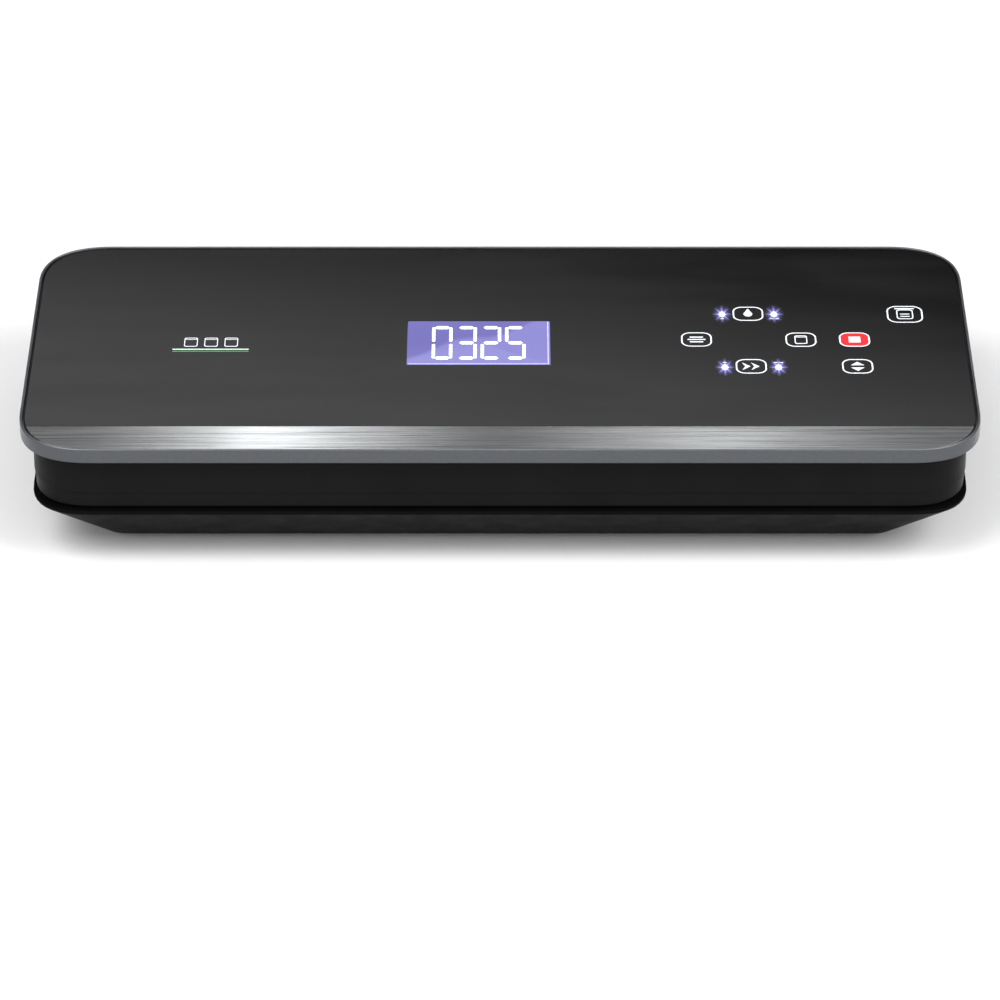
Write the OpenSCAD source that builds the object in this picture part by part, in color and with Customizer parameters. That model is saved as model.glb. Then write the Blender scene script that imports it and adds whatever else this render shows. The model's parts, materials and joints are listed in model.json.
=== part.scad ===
// Countertop vacuum sealer: a flat hinged lid with a touch panel over a low base that holds
// the vacuum channel, the heated seal bar, a twin-piston pump and a motor-driven lid lock.
// X is the width, -Y the front where the bag goes in, and Z = 0 the surface the feet stand on.

/* [Lid] */
// Width of the lid over its rim
lid_w = 420; // [400:1:510]
// Depth of the lid over its rim
lid_d = 185; // [180:1:225]
// Corner size of the lid's plan outline
lid_r = 34; // [28:1:40]
// Height of the lid's rim band
rim_h = 7; // [7:0.1:7.6]
// Thickness of the rim wall
rim_t = 1.2; // [1:0.1:1.4]
// Gap between the rim and the touch panel
panel_gap = 0.7; // [0.4:0.1:0.9]
// Thickness of the touch panel
panel_t = 2.8; // [2.2:0.1:2.9]
// How far the touch panel lies below the rim's top
panel_drop = 0.6; // [0.4:0.1:0.9]
// Depth of the brushed strip along the panel's front
strip_d = 19.5; // [14:0.5:24]
// Width of the ledge that carries the panel
ledge_w = 8; // [7:0.5:9]
// Depth of the electronics box under the lid
lid_box_h = 8; // [7:0.5:9]
// Largest opening between lid and base, parted along the hinge plane
part_gap = 0.4; // [0.3:0.05:0.6]

/* [Base] */
// Overall height with feet
body_h = 64; // [60:0.5:78]
// How far the lid overhangs the base shell all round
overhang = 5.5; // [4.5:0.5:7]
// Corner size of the base shell's plan outline
shell_r = 28; // [22:1:34]
// Wall thickness of the base shell
wall = 2.5; // [2:0.1:2.8]
// Thickness of the deck under the lid
deck_t = 3.4; // [3:0.1:4]
// Height of the tray's lip above the ground
tray_h = 30; // [29:0.5:32]
// Thickness of the tray's lip
lip_t = 1.5; // [1:0.1:2]
// Shadow gap between the tray's lip and the base shell
shadow_gap = 2; // [1:0.1:3]
// How far the tray's underside draws in at each end
end_rise = 29; // [26:0.5:32]
// How far the tray's underside draws in at front and back
front_rise = 23.5; // [20:0.5:25]
// Thickness of the tray's floor
floor_t = 2.4; // [2:0.1:3]
// Clear height under the tray
foot_h = 4.5; // [3:0.1:6]
// Radius of each rubber foot
foot_r = 9; // [7:0.5:10]

/* [Vacuum channel and seal] */
// Front-to-back size of the vacuum channel
channel_d = 28; // [24:0.5:30]
// Depth of the vacuum channel below the parting plane
channel_h = 13; // [11:0.5:14]
// Width of both foam gaskets
gasket_w = 4.5; // [3.5:0.1:5]
// Width of the seal bar
bar_w = 9; // [7:0.5:9]
// Width of the heating strip
heater_w = 3.5; // [2.5:0.1:5]
// Width of the silicone pressing strip in the lid
press_w = 7; // [5:0.5:8]
// Wall thickness of the removable drip tray
drip_t = 1.2; // [1:0.1:1.5]

/* [Hinge and lid lock] */
// Radius of each hinge pin
pin_r = 1.5; // [1.2:0.1:1.6]
// Outer radius of the hinge knuckles
knuckle_r = 3.2; // [2.9:0.1:3.2]
// Length of each base knuckle
knuckle_l = 12; // [10:0.5:16]
// Radius of the lock shaft
shaft_r = 3; // [2.5:0.1:3.2]
// Width of the lid's catch plates
catch_w = 12; // [10:0.5:14]
// Thickness of the lid's catch plates
catch_t = 2.5; // [2:0.1:3]
// Width of each lock hook
hook_w = 6; // [5:0.5:6.5]
// Tooth module of the lock gears
gear_m = 0.8; // [0.8:0.1:0.8]
// Teeth on the lock pinion
pinion_teeth = 15; // [15:1:15]
// Teeth on the whole circle of the sector gear
sector_teeth = 45; // [45:1:45]
// Face width of the lock gears
gear_w = 6; // [5:0.5:7]

/* [Pump] */
// Radius of the pump motor
motor_r = 16; // [14:0.5:17]
// Length of the pump motor
motor_l = 52; // [44:1:60]
// Radius of each piston
piston_r = 9; // [8:0.5:10]
// Throw of the crank pin
crank_throw = 2; // [1.5:0.1:2.2]
// Radius of the crank pin
crank_pin_r = 2.5; // [2:0.1:2.6]
// Outer radius of the silicone hoses
hose_r = 3; // [2.5:0.1:3.2]
// Bore radius of the silicone hoses
hose_bore = 1.6; // [1.2:0.1:1.8]

/* [Display and keys] */
// Width of the display window
display_w = 64; // [50:1:66]
// Front-to-back size of the display window
display_d = 40; // [26:1:42]
// Centre of the display window from the lid's middle
display_x = -9.5; // [-12:0.5:10]
// Centre of the display window behind the front wall of the lid's electronics box
display_in = 28.5; // [24:0.5:32]
// Radius of the touch springs under the keys
key_r = 3.5; // [2.5:0.1:4]
// Radius of the indicator light pipes
led_r = 1.5; // [1:0.1:2]

/* [Rear connections] */
// Centre of the mains inlet from the base's right side
inlet_in = 54.5; // [50:0.5:58]
// Width of the mains inlet's recess
inlet_w = 19.6; // [19.6:0.1:20]
// Height of the mains inlet's recess
inlet_h = 10; // [9.6:0.1:10.2]
// Radius of the canister hose socket
canister_r = 3; // [2.5:0.1:3.5]
// Depth of the canister hose socket
canister_l = 9; // [7:0.5:10]

/* [Hidden] */
$fn = 48;

corner_n = 2.5;      // exponent of the squared-off corners
corner_steps = 10;   // points round one corner
fit = 0.3;           // gap between parts that drop into each other
run = 0.06;          // radial clearance of a turning shaft
snug = 0.02;         // radial clearance of a pressed-on part

// Levels, from the ground up
floor_z = foot_h + floor_t;
lip_z = tray_h - lip_t;
shell_low = tray_h + shadow_gap;
crease_z = shell_low + 7;
part_z = body_h - rim_h;
deck_top = part_z - part_gap / 2;
deck_low = deck_top - deck_t;
lid_under = part_z + part_gap / 2;
panel_top = body_h - panel_drop;
panel_low = panel_top - panel_t;
ledge_low = panel_low - 1.2;
liner_top = panel_low - 0.2;
lid_box_low = part_z - lid_box_h;

// Plan sizes
shell_w = lid_w - 2 * overhang;
shell_d = lid_d - 2 * overhang;
inner_w = shell_w - 2 * wall;
inner_d = shell_d - 2 * wall;
inner_r = shell_r - wall;
tray_w = shell_w + 1.2;
tray_d = shell_d + 1.8;
tray_r = shell_r - 2;
tray_low_w = tray_w - 2 * end_rise;
tray_low_d = tray_d - 2 * front_rise;
tray_low_r = 13;
tongue_t = 1.6;
ledge_t = 2;
ledge_in = 3.5;
seam = 0.15;
tongue_w = inner_w - 2 * fit;
tongue_d = inner_d - 2 * fit;
tongue_r = inner_r - fit;
front_y = -shell_d / 2;
hinge_y = shell_d / 2;
hinge_x = lid_w / 2 - 110;
lug_l = 6;
lug_gap = 0.4;

// Vacuum channel, gaskets and seal bar
channel_x = shell_w / 2 - 52.5;
channel_front = front_y + 23;
channel_back = channel_front + channel_d;
channel_y = (channel_front + channel_back) / 2;
channel_floor = part_z - channel_h;
channel_r = 8;
pan_t = 2;
pan_low = channel_floor - pan_t;
gasket_off = 1;
bay_h = 0.8;
bay_r = 4;
groove_h = 2.2;
bay_front = front_y + 5.5;
bay_back = channel_back + gasket_off + gasket_w + 1.5;
bay_x = channel_x + 11;
bar_y = front_y + 11.5;
bar_x = channel_x + 8;
bar_top = deck_top - 0.4;
bar_low = bar_top - 8.4;
heater_t = 0.2;
cover_t = 0.18;
port_x = -(channel_x - 22);
drip_x0 = port_x + 16;
drip_x1 = channel_x - 2;
drip_h = 10;
sensor_x = port_x - 14;
sensor_y = channel_y + 6;

// Lid catches, lock shaft, hooks and gears
catch_x = shell_w / 2 - 26.5;
catch_y = front_y + 37;
catch_low = part_z - 13;
window_low = part_z - 11.5;
window_high = part_z - 5.5;
lock_y = catch_y + 7.5;
lock_z = floor_z + 14.6;
hook_reach = part_z - 6 - lock_z;
bearing_x = [-(catch_x - 13), -60, 60, catch_x - 13];
sector_x = 18;
pinion_y = lock_y + gear_m * (sector_teeth + pinion_teeth) / 2;
gearbox_r = 12;
gearbox_l = 18;
lock_motor_r = 10;
lock_motor_l = 36;
switch_x = -(catch_x - 4);
switch_y = channel_back + 30;

// Lid box and the well it drops into
lid_box_x0 = display_x - display_w / 2 - 6.5;
lid_box_x1 = lid_w / 2 - 16;
lid_box_y0 = channel_back + gasket_off + gasket_w + 5;
lid_box_y1 = hinge_y - 26;
lid_box_t = 1.8;
well_gap = 1.5;
well_t = 2;
well_z = lid_box_low - 0.8;
well_low = well_z - well_t;
board_t = 1.6;
board_z = liner_top - 2.8;

// Key and light places: from the lid's right edge, and from the box's front wall
keys = [[-122.1, 30.6], [-98.2, 54.2], [-98.5, 6.3], [-75.4, 30.4],
        [-51.4, 30.5], [-51.3, 6.3], [-27.5, 53.7]];
leds = [[-109.9, 54.6], [-86.5, 54.6], [-110.2, 6.3], [-86.4, 6.3]];
key_x = lid_w / 2;
key_y = lid_box_y0;
display_y = lid_box_y0 + display_in;

// Pump on the left, boards on the right
pump_y = 22;
pump_z = floor_z + 20.1;
pump_x = port_x;
case_half = 15;
case_wall = 2.5;
case_x0 = pump_x - 18;
case_x1 = pump_x + 18;
head_l = 13;
head_half = 12;
yoke_half = crank_throw * 2 + crank_pin_r + 3;
nozzle_z = pump_z + 4;
elbow_r = 5;
board_x0 = -25;
board_w = 137;
board_d = 56;
board_y0 = tray_low_d / 2 - 3 - board_d;
board_low = floor_z + 5.1;
board_top = board_low + board_t;

// Screws, feet and rear connections
post_x = channel_x - 6;
post_ys = [channel_front + 8, tray_low_d / 2 - 8.7];
post_r = 4.5;
boss_r = 6;
screw_seat = floor_z + 4;
boss_top = screw_seat + 3;
foot_x = tray_low_w / 2 - 16;
foot_y = tray_low_d / 2 - 18.5;
rear_z = part_z - 12;
rise_r = 6;
flange_t = 1.5;
inlet_x = shell_w / 2 - inlet_in;
inlet_l = 18;
inlet_depth = 12;
inlet_wall = 2;
inlet_pin_x = 4.3;

// ---------- shared shapes ----------

// Rectangle with squared-off round corners, drawn anticlockwise
function outline(w, d, r, n = corner_n) = [
    for (q = [0:3], i = [0:corner_steps])
        let (t = 90 * i / corner_steps,
             c = pow(cos(t), 2 / n),
             s = pow(max(0, sin(t)), 2 / n),
             even = q % 2 == 0,
             side_x = q == 0 || q == 3 ? 1 : -1,
             side_y = q < 2 ? 1 : -1)
        [side_x * (w / 2 - r + r * (even ? c : s)), side_y * (d / 2 - r + r * (even ? s : c))]
];

module slab(w, d, r, z0, z1, n = corner_n) {
    translate([0, 0, z0]) linear_extrude(z1 - z0) polygon(outline(w, d, r, n));
}

module box(x0, x1, y0, y1, z0, z1) {
    translate([x0, y0, z0]) cube([x1 - x0, y1 - y0, z1 - z0]);
}

module rod_x(x0, x1, y, z, r) {
    translate([x0, y, z]) rotate([0, 90, 0]) cylinder(h = x1 - x0, r = r);
}

module rod_y(x, y0, y1, z, r) {
    translate([x, y0, z]) rotate([-90, 0, 0]) cylinder(h = y1 - y0, r = r);
}

module rod_z(x, y, z0, z1, r) {
    translate([x, y, z0]) cylinder(h = z1 - z0, r = r);
}

// Extrudes a profile drawn in Y and Z along X, from x0 to x1
module along_x(x0, x1) {
    translate([x0, 0, 0]) rotate([90, 0, 90]) linear_extrude(x1 - x0) children();
}

// Loft between two outlines, one above the other
module draw_in(w0, d0, r0, z0, w1, d1, r1, z1) {
    hull() {
        slab(w0, d0, r0, z0, z0 + 0.01);
        slab(w1, d1, r1, z1 - 0.01, z1);
    }
}

module lid_slab(inset, z0, z1) {
    slab(lid_w - 2 * inset, lid_d - 2 * inset, lid_r - inset, z0, z1);
}

module mirrored_x() {
    children();
    mirror([1, 0, 0]) children();
}

// Rounded ring round the vacuum channel, from one offset to another
module channel_ring(off0, off1, z0, z1) {
    translate([0, channel_y, 0]) difference() {
        slab(2 * (channel_x + off1), channel_d + 2 * off1, channel_r + off1, z0, z1, 2);
        slab(2 * (channel_x + off0), channel_d + 2 * off0, channel_r + off0, z0 - 1, z1 + 1, 2);
    }
}

module channel_slab(off, z0, z1) {
    translate([0, channel_y, 0])
        slab(2 * (channel_x + off), channel_d + 2 * off, channel_r + off, z0, z1, 2);
}

module bay(z0, z1) {
    translate([0, (bay_front + bay_back) / 2, 0])
        slab(2 * bay_x, bay_back - bay_front, bay_r, z0, z1, 2);
}

// Hose bend in the plane x = const: a quarter ring of the hose's section
module hose_bend(x, y, z, r, start) {
    translate([x, y, z]) rotate([90, 0, 90]) rotate([0, 0, start]) rotate_extrude(angle = 90)
        translate([r, 0]) difference() {
            circle(hose_r);
            circle(hose_bore);
        }
}

module hose_run_y(x, y0, y1, z) {
    difference() {
        rod_y(x, y0, y1, z, hose_r);
        rod_y(x, y0 - 1, y1 + 1, z, hose_bore);
    }
}

// ---------- gear teeth ----------

function involute(r, base) = r <= base ? 0 : tan(acos(base / r)) * 180 / PI - acos(base / r);

function flank(r, teeth) =
    let (pitch = gear_m * teeth / 2, base = pitch * cos(20), backlash = 0.12)
    90 / teeth - backlash / pitch * 180 / PI + involute(pitch, base) - involute(r, base);

function tooth_radii(teeth) =
    let (pitch = gear_m * teeth / 2, root = pitch - 1.2 * gear_m, tip = pitch + 0.8 * gear_m)
    [for (i = [0:5]) root + (tip - root) * i / 5];

function tooth(teeth, k) =
    let (radii = tooth_radii(teeth), mid = 360 * k / teeth)
    concat([for (r = radii) r * [cos(mid - flank(r, teeth)), sin(mid - flank(r, teeth))]],
           [for (i = [5:-1:0]) let (r = radii[i])
               r * [cos(mid + flank(r, teeth)), sin(mid + flank(r, teeth))]]);

// ---------- base casings ----------

module bottom_tray() color([0.10, 0.10, 0.11]) difference() {
    union() {
        difference() {
            union() {
                draw_in(tray_low_w, tray_low_d, tray_low_r, foot_h, tray_w, tray_d, tray_r, lip_z);
                slab(tray_w, tray_d, tray_r, lip_z, tray_h);
                slab(tongue_w, tongue_d, tongue_r, lip_z, shell_low + 3);
            }
            draw_in(tray_low_w - 3, tray_low_d - 3.8, tray_low_r, floor_z,
                    tongue_w - 2 * tongue_t, tongue_d - 2 * tongue_t, tongue_r - tongue_t, lip_z);
            slab(tongue_w - 2 * tongue_t, tongue_d - 2 * tongue_t, tongue_r - tongue_t,
                 lip_z - 0.01, shell_low + 4);
        }
        for (x = [-post_x, post_x], y = post_ys)
            rod_z(x, y, foot_h, boss_top, boss_r);
    }
    for (x = [-foot_x, foot_x], y = [-foot_y, foot_y])
        rod_z(x, y, foot_h - 1, foot_h + 1.5, foot_r + 0.1);
    for (x = [-post_x, post_x], y = post_ys) {
        rod_z(x, y, foot_h - 1, screw_seat - 0.5, 3.3);
        rod_z(x, y, screw_seat - 1, boss_top + 1, 1.7);
    }
    for (i = [0:7])
        box(20 + 11 * i, 24 + 11 * i, board_y0 + 8, board_y0 + board_d - 14, foot_h - 1, floor_z + 1);
}

module screw_post(x, y, top) {
    difference() {
        rod_z(x, y, boss_top, top, post_r);
        rod_z(x, y, boss_top - 1, boss_top + 12, 1.55);
    }
}

// Outer wall of the base with its crease, the ledge for the deck and the hinge knuckles
module base_shell() color([0.11, 0.11, 0.12]) difference() {
    union() {
        difference() {
            union() {
                slab(shell_w, shell_d, shell_r, crease_z, deck_top);
                slab(shell_w - 1.2, shell_d - 1.2, shell_r - 0.6, shell_low, crease_z);
            }
            slab(inner_w, inner_d, inner_r, shell_low - 1, deck_low - ledge_t);
            slab(inner_w - 2 * ledge_in, inner_d - 2 * ledge_in, inner_r - ledge_in,
                 shell_low - 1, deck_low + 1);
            slab(inner_w, inner_d, inner_r, deck_low, deck_top + 1);
        }
        mirrored_x() {
            rod_x(hinge_x - knuckle_l / 2, hinge_x + knuckle_l / 2, hinge_y, part_z, knuckle_r);
            box(hinge_x - knuckle_l / 2, hinge_x + knuckle_l / 2,
                hinge_y - 3, hinge_y, part_z - 6, part_z);
            box(hinge_x - 15, hinge_x + 15, hinge_y - 6, hinge_y - 1, part_z - 6.5, deck_top);
        }
    }
    mirrored_x() {
        rod_x(hinge_x - knuckle_l / 2 - 1, hinge_x + knuckle_l / 2 + 1, hinge_y, part_z, pin_r + snug);
        for (s = [-1, 1]) {
            x = hinge_x + s * (knuckle_l / 2 + lug_gap / 2 + lug_l / 2 + 0.3);
            rod_x(x - lug_l / 2 - 0.5, x + lug_l / 2 + 0.5 - 0.01, hinge_y, part_z, knuckle_r + 0.5);
        }
    }
    box(inlet_x - inlet_w / 2 - inlet_wall - 0.1, inlet_x + inlet_w / 2 + inlet_wall + 0.1,
        inner_d / 2 - ledge_in - 1, hinge_y + 1, rear_z - inlet_h / 2 - inlet_wall - 0.1,
        rear_z + inlet_h / 2 + inlet_wall + 0.1);
    box(-bay_x - seam, bay_x + seam, bay_front - seam, bay_front + 2,
        deck_low - ledge_t - 1, deck_low + 0.5);
    rod_y(port_x, hinge_y - wall - 1, hinge_y + 1, rear_z, 4.6);
}

// Plate on top of the base, with the well that the lid's electronics box drops into
module deck() color([0.13, 0.13, 0.14]) difference() {
    union() {
        slab(inner_w - 2 * seam, inner_d - 2 * seam, inner_r - seam, deck_low, deck_top);
        box(lid_box_x0 - well_gap - well_t, lid_box_x1 + well_gap + well_t,
            lid_box_y0 - well_gap - well_t, lid_box_y1 + well_gap + well_t, well_low, deck_low + 1);
        screw_post(-post_x, post_ys[1], deck_low + 1);
        screw_post(post_x, post_ys[1], well_low + 1);
    }
    bay(deck_low - 1, deck_top + 1);
    box(lid_box_x0 - well_gap, lid_box_x1 + well_gap,
        lid_box_y0 - well_gap, lid_box_y1 + well_gap, well_z, deck_top + 1);
    rod_z(switch_x, switch_y, deck_low - 1, deck_top + 1, 2.4);
    mirrored_x() {
        box(catch_x - catch_w / 2 - 2, catch_x + catch_w / 2 + 2,
            catch_y - 4.5, catch_y + 4.5, deck_low - 1, deck_top + 1);
        box(hinge_x - 15 - seam, hinge_x + 15 + seam, hinge_y - 6 - seam, hinge_y,
            deck_low - 1, deck_top + 1);
    }
}

// Insert that drops into the deck: the vacuum channel, the gasket's groove and the bar's pocket
module channel_pan() color([0.15, 0.15, 0.16]) difference() {
    union() {
        bay(deck_low, deck_top - bay_h);
        channel_slab(pan_t, pan_low, deck_low + 1);
        intersection() {
            bay(bar_low - 2, deck_low + 1);
            box(-bar_x - 2, bar_x + 2, bay_front - 1, channel_front, bar_low - 3, deck_low + 2);
        }
        screw_post(-post_x, post_ys[0], pan_low + 1);
        screw_post(post_x, post_ys[0], pan_low + 1);
    }
    channel_slab(0, channel_floor, deck_top + 1);
    channel_ring(gasket_off, gasket_off + gasket_w, deck_top - groove_h, deck_top + 1);
    box(-bar_x, bar_x, bar_y - bar_w / 2 - 0.2, bar_y + bar_w / 2 + 0.2, bar_low, deck_top + 1);
    rod_z(port_x, channel_y, pan_low - 1, channel_floor + 1, 3.1);
    rod_z(sensor_x, sensor_y, pan_low - 1, channel_floor + 1, 1.6);
}

module foot(x, y) color([0.05, 0.05, 0.05]) translate([x, y, 0]) rotate_extrude()
    polygon([[0, 0], [foot_r - 1, 0], [foot_r, 1], [foot_r, foot_h + 1.5], [0, foot_h + 1.5]]);

module case_screws() color([0.55, 0.55, 0.57])
    for (x = [-post_x, post_x], y = post_ys) {
        rod_z(x, y, screw_seat - 2.9, screw_seat - 0.5, 2.8);
        rod_z(x, y, screw_seat - 0.6, boss_top + 10, 1.5);
    }

// ---------- seal and vacuum channel ----------

module seal_bar() color([0.32, 0.22, 0.16])
    box(-bar_x + 0.3, bar_x - 0.3, bar_y - bar_w / 2, bar_y + bar_w / 2, bar_low, bar_top);

module heating_strip() color([0.72, 0.70, 0.66])
    box(-bar_x + 4, bar_x - 4, bar_y - heater_w / 2, bar_y + heater_w / 2,
        bar_top, bar_top + heater_t);

module ptfe_cover() color([0.55, 0.42, 0.30])
    box(-bar_x + 1, bar_x - 1, bar_y - bar_w / 2 + 0.2, bar_y + bar_w / 2 - 0.2,
        bar_top + heater_t, bar_top + heater_t + cover_t);

module lower_gasket() color([0.06, 0.06, 0.06])
    channel_ring(gasket_off + 0.1, gasket_off + gasket_w - 0.1, deck_top - groove_h, deck_top);

module upper_gasket() color([0.06, 0.06, 0.06])
    channel_ring(gasket_off + 0.1, gasket_off + gasket_w - 0.1, lid_under, lid_under + groove_h);

module drip_tray() color([0.35, 0.36, 0.38]) {
    y0 = channel_front + 0.6;
    y1 = channel_back - 0.6;
    mid_x = (drip_x0 + drip_x1) / 2;
    difference() {
        translate([mid_x, channel_y, 0])
            slab(drip_x1 - drip_x0, y1 - y0, 7, channel_floor, channel_floor + drip_h, 2);
        translate([mid_x, channel_y, 0])
            slab(drip_x1 - drip_x0 - 2 * drip_t, y1 - y0 - 2 * drip_t, 7 - drip_t,
                 channel_floor + drip_t, channel_floor + drip_h + 1, 2);
    }
}

module suction_port() color([0.75, 0.75, 0.72]) difference() {
    union() {
        rod_z(port_x, channel_y, channel_floor, channel_floor + 5, 5);
        rod_z(port_x, channel_y, pan_low, channel_floor + 1, 3);
        rod_z(port_x, channel_y, pan_low - 5, pan_low + 1, hose_bore - 0.05);
    }
    rod_z(port_x, channel_y, pan_low - 6, channel_floor + 6, 0.9);
}

module vacuum_sensor() color([0.15, 0.30, 0.20]) {
    box(sensor_x - 6, sensor_x + 6, sensor_y - 5, sensor_y + 5, pan_low - 7, pan_low);
    rod_z(sensor_x, sensor_y, pan_low - 1, channel_floor + 1.5, 1.5);
}

// ---------- pump ----------

module pump_motor() color([0.66, 0.67, 0.69]) difference() {
    union() {
        rod_x(case_x1, case_x1 + motor_l, pump_y, pump_z, motor_r);
        rod_x(case_x1 + motor_l - 1, case_x1 + motor_l + 3, pump_y, pump_z, 6);
    }
    rod_x(case_x1 - 1, case_x1 + 14, pump_y, pump_z, 2.5 + run);
}

module pump_housing() color([0.80, 0.80, 0.78]) difference() {
    box(case_x0, case_x1, pump_y - case_half, pump_y + case_half,
        pump_z - case_half, pump_z + case_half);
    box(case_x0 + case_wall, case_x1 - case_wall,
        pump_y - case_half + case_wall, pump_y + case_half - case_wall,
        pump_z - case_half + case_wall, pump_z + case_half - case_wall);
    rod_y(pump_x, pump_y - case_half - 1, pump_y + case_half + 1, pump_z, piston_r + 0.5);
    rod_x(case_x1 - case_wall - 1, case_x1 + 1, pump_y, pump_z, 2.5 + run);
}

// Cylinder head, built at the rear and mirrored for the front
module pump_head() difference() {
    union() {
        box(pump_x - head_half, pump_x + head_half, case_half, case_half + head_l,
            pump_z - head_half, pump_z + head_half);
        rod_y(pump_x, case_half + head_l - 1, case_half + head_l + 7, nozzle_z, hose_bore - 0.05);
    }
    rod_y(pump_x, case_half - 1, case_half + 10, pump_z, piston_r + run);
    rod_y(pump_x, case_half + 9, case_half + head_l + 8, nozzle_z, 0.9);
}

module pump_head_rear() color([0.20, 0.20, 0.21]) translate([0, pump_y, 0]) pump_head();

module pump_head_front() color([0.20, 0.20, 0.21])
    translate([0, pump_y, 0]) mirror([0, 1, 0]) pump_head();

module pump_cradle() color([0.08, 0.08, 0.08]) difference() {
    union() {
        box(case_x1 + 6, case_x1 + 18, pump_y - 14, pump_y + 14, floor_z, pump_z - 8);
        box(case_x1 + 34, case_x1 + 46, pump_y - 14, pump_y + 14, floor_z, pump_z - 8);
        box(case_x0 + 4, case_x1 - 4, pump_y - 12, pump_y + 12, floor_z, pump_z - case_half);
    }
    rod_x(case_x1, case_x1 + motor_l, pump_y, pump_z, motor_r + snug);
}

module pump_crank() color([0.60, 0.61, 0.63]) {
    rod_x(pump_x + 6, case_x1 + 13, pump_y, pump_z, 2.5);
    rod_x(pump_x + 5, pump_x + 8, pump_y, pump_z, 7.5);
    rod_x(pump_x - 5, pump_x + 6, pump_y, pump_z + crank_throw, crank_pin_r);
}

module piston_yoke() color([0.85, 0.84, 0.78]) {
    window_y = 2 * crank_throw + crank_pin_r + 0.3;
    window_z = crank_throw + crank_pin_r + 0.3;
    difference() {
        box(pump_x - 3, pump_x + 3, pump_y - yoke_half, pump_y + yoke_half,
            pump_z - window_z - 2, pump_z + window_z + 2);
        box(pump_x - 4, pump_x + 4, pump_y - window_y, pump_y + window_y,
            pump_z - window_z, pump_z + window_z);
    }
    for (s = [-1, 1]) {
        y = pump_y + s * (yoke_half + case_half + 3) / 2;
        rod_y(pump_x, y - (case_half + 3 - yoke_half) / 2 - 0.2,
              y + (case_half + 3 - yoke_half) / 2 + 0.2, pump_z, 3);
    }
}

module piston_seals() color([0.12, 0.12, 0.12])
    for (s = [-1, 1])
        rod_y(pump_x, pump_y + s * (case_half + 5.2) - 2, pump_y + s * (case_half + 5.2) + 2,
              pump_z, piston_r);

module suction_hose() color([0.85, 0.86, 0.86]) {
    y0 = pump_y - case_half - head_l;
    hose_run_y(port_x, channel_y + elbow_r, y0, nozzle_z);
    hose_bend(port_x, channel_y + elbow_r, nozzle_z + elbow_r, elbow_r, 180);
    difference() {
        rod_z(port_x, channel_y, nozzle_z + elbow_r, pan_low, hose_r);
        rod_z(port_x, channel_y, nozzle_z + elbow_r - 1, pan_low + 1, hose_bore);
    }
}

module canister_hose() color([0.85, 0.86, 0.86]) {
    y0 = pump_y + case_half + head_l;
    y1 = y0 + 8;
    y2 = y1 + 2 * rise_r;
    hose_run_y(port_x, y0, y1, nozzle_z);
    hose_bend(port_x, y1, nozzle_z + rise_r, rise_r, 270);
    difference() {
        rod_z(port_x, y1 + rise_r, nozzle_z + rise_r, rear_z - rise_r, hose_r);
        rod_z(port_x, y1 + rise_r, nozzle_z + rise_r - 1, rear_z - rise_r + 1, hose_bore);
    }
    hose_bend(port_x, y2, rear_z - rise_r, rise_r, 90);
    hose_run_y(port_x, y2, hinge_y - wall - canister_l + 2, rear_z);
}

module canister_port() color([0.30, 0.30, 0.32]) difference() {
    union() {
        rod_y(port_x, hinge_y, hinge_y + flange_t, rear_z, 5.8);
        rod_y(port_x, hinge_y - canister_l, hinge_y + 1, rear_z, 4.5);
        rod_y(port_x, hinge_y - canister_l - 5, hinge_y - canister_l + 1, rear_z, hose_bore - 0.05);
    }
    rod_y(port_x, hinge_y + flange_t - canister_l, hinge_y + flange_t + 1, rear_z, canister_r);
    rod_y(port_x, hinge_y - canister_l - 6, hinge_y, rear_z, 0.9);
}

module release_valve() color([0.70, 0.68, 0.60]) {
    y = pump_y - case_half - head_l / 2;
    rod_z(pump_x, y, pump_z + head_half, pump_z + head_half + 3, 4);
    rod_z(pump_x, y, pump_z + head_half + 3, pump_z + head_half + 11, 6);
}

// ---------- boards and inlet ----------

module power_board() color([0.16, 0.36, 0.18]) {
    box(board_x0, board_x0 + board_w, board_y0, board_y0 + board_d, board_low, board_top);
    for (x = [board_x0 + 6, board_x0 + board_w - 6], y = [board_y0 + 6, board_y0 + board_d - 6])
        rod_z(x, y, floor_z, board_low + 0.5, 3);
}

module transformer() color([0.20, 0.20, 0.22]) {
    x = board_x0 + 16;
    y = board_y0 + 10;
    box(x, x + 38, y, y + 34, board_top, board_top + 24);
    box(x + 7, x + 31, y - 4, y + 38, board_top + 3, board_top + 21);
}

module board_parts() color([0.12, 0.14, 0.30]) {
    x = board_x0 + 66;
    y = board_y0 + 14;
    for (i = [0:2])
        rod_z(x + 15 * i, y, board_top, board_top + 20 - 3 * i, 6);
    box(x - 4, x + 14, y + 14, y + 30, board_top, board_top + 15);
    box(x + 22, x + 40, y + 14, y + 17, board_top, board_top + 18);
    box(x + 46, x + 58, y + 4, y + 24, board_top, board_top + 10);
}

module power_inlet() color([0.08, 0.08, 0.09]) {
    back = hinge_y + flange_t;
    half_w = inlet_w / 2 + inlet_wall;
    half_h = inlet_h / 2 + inlet_wall;
    difference() {
        union() {
            box(inlet_x - half_w, inlet_x + half_w, back - inlet_l, back, rear_z - half_h, rear_z + half_h);
            box(inlet_x - half_w - 2, inlet_x + half_w + 2, hinge_y, back,
                rear_z - half_h - 0.8, rear_z + half_h + 0.8);
        }
        translate([inlet_x, 0, rear_z]) translate([0, back + 1, 0]) rotate([90, 0, 0])
            linear_extrude(inlet_depth + 1) polygon(outline(inlet_w, inlet_h, inlet_h / 2 - 1, 2));
        for (s = [-1, 1])
            rod_y(inlet_x + s * inlet_pin_x, back - inlet_l - 1, back, rear_z, 1.2);
    }
}

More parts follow.
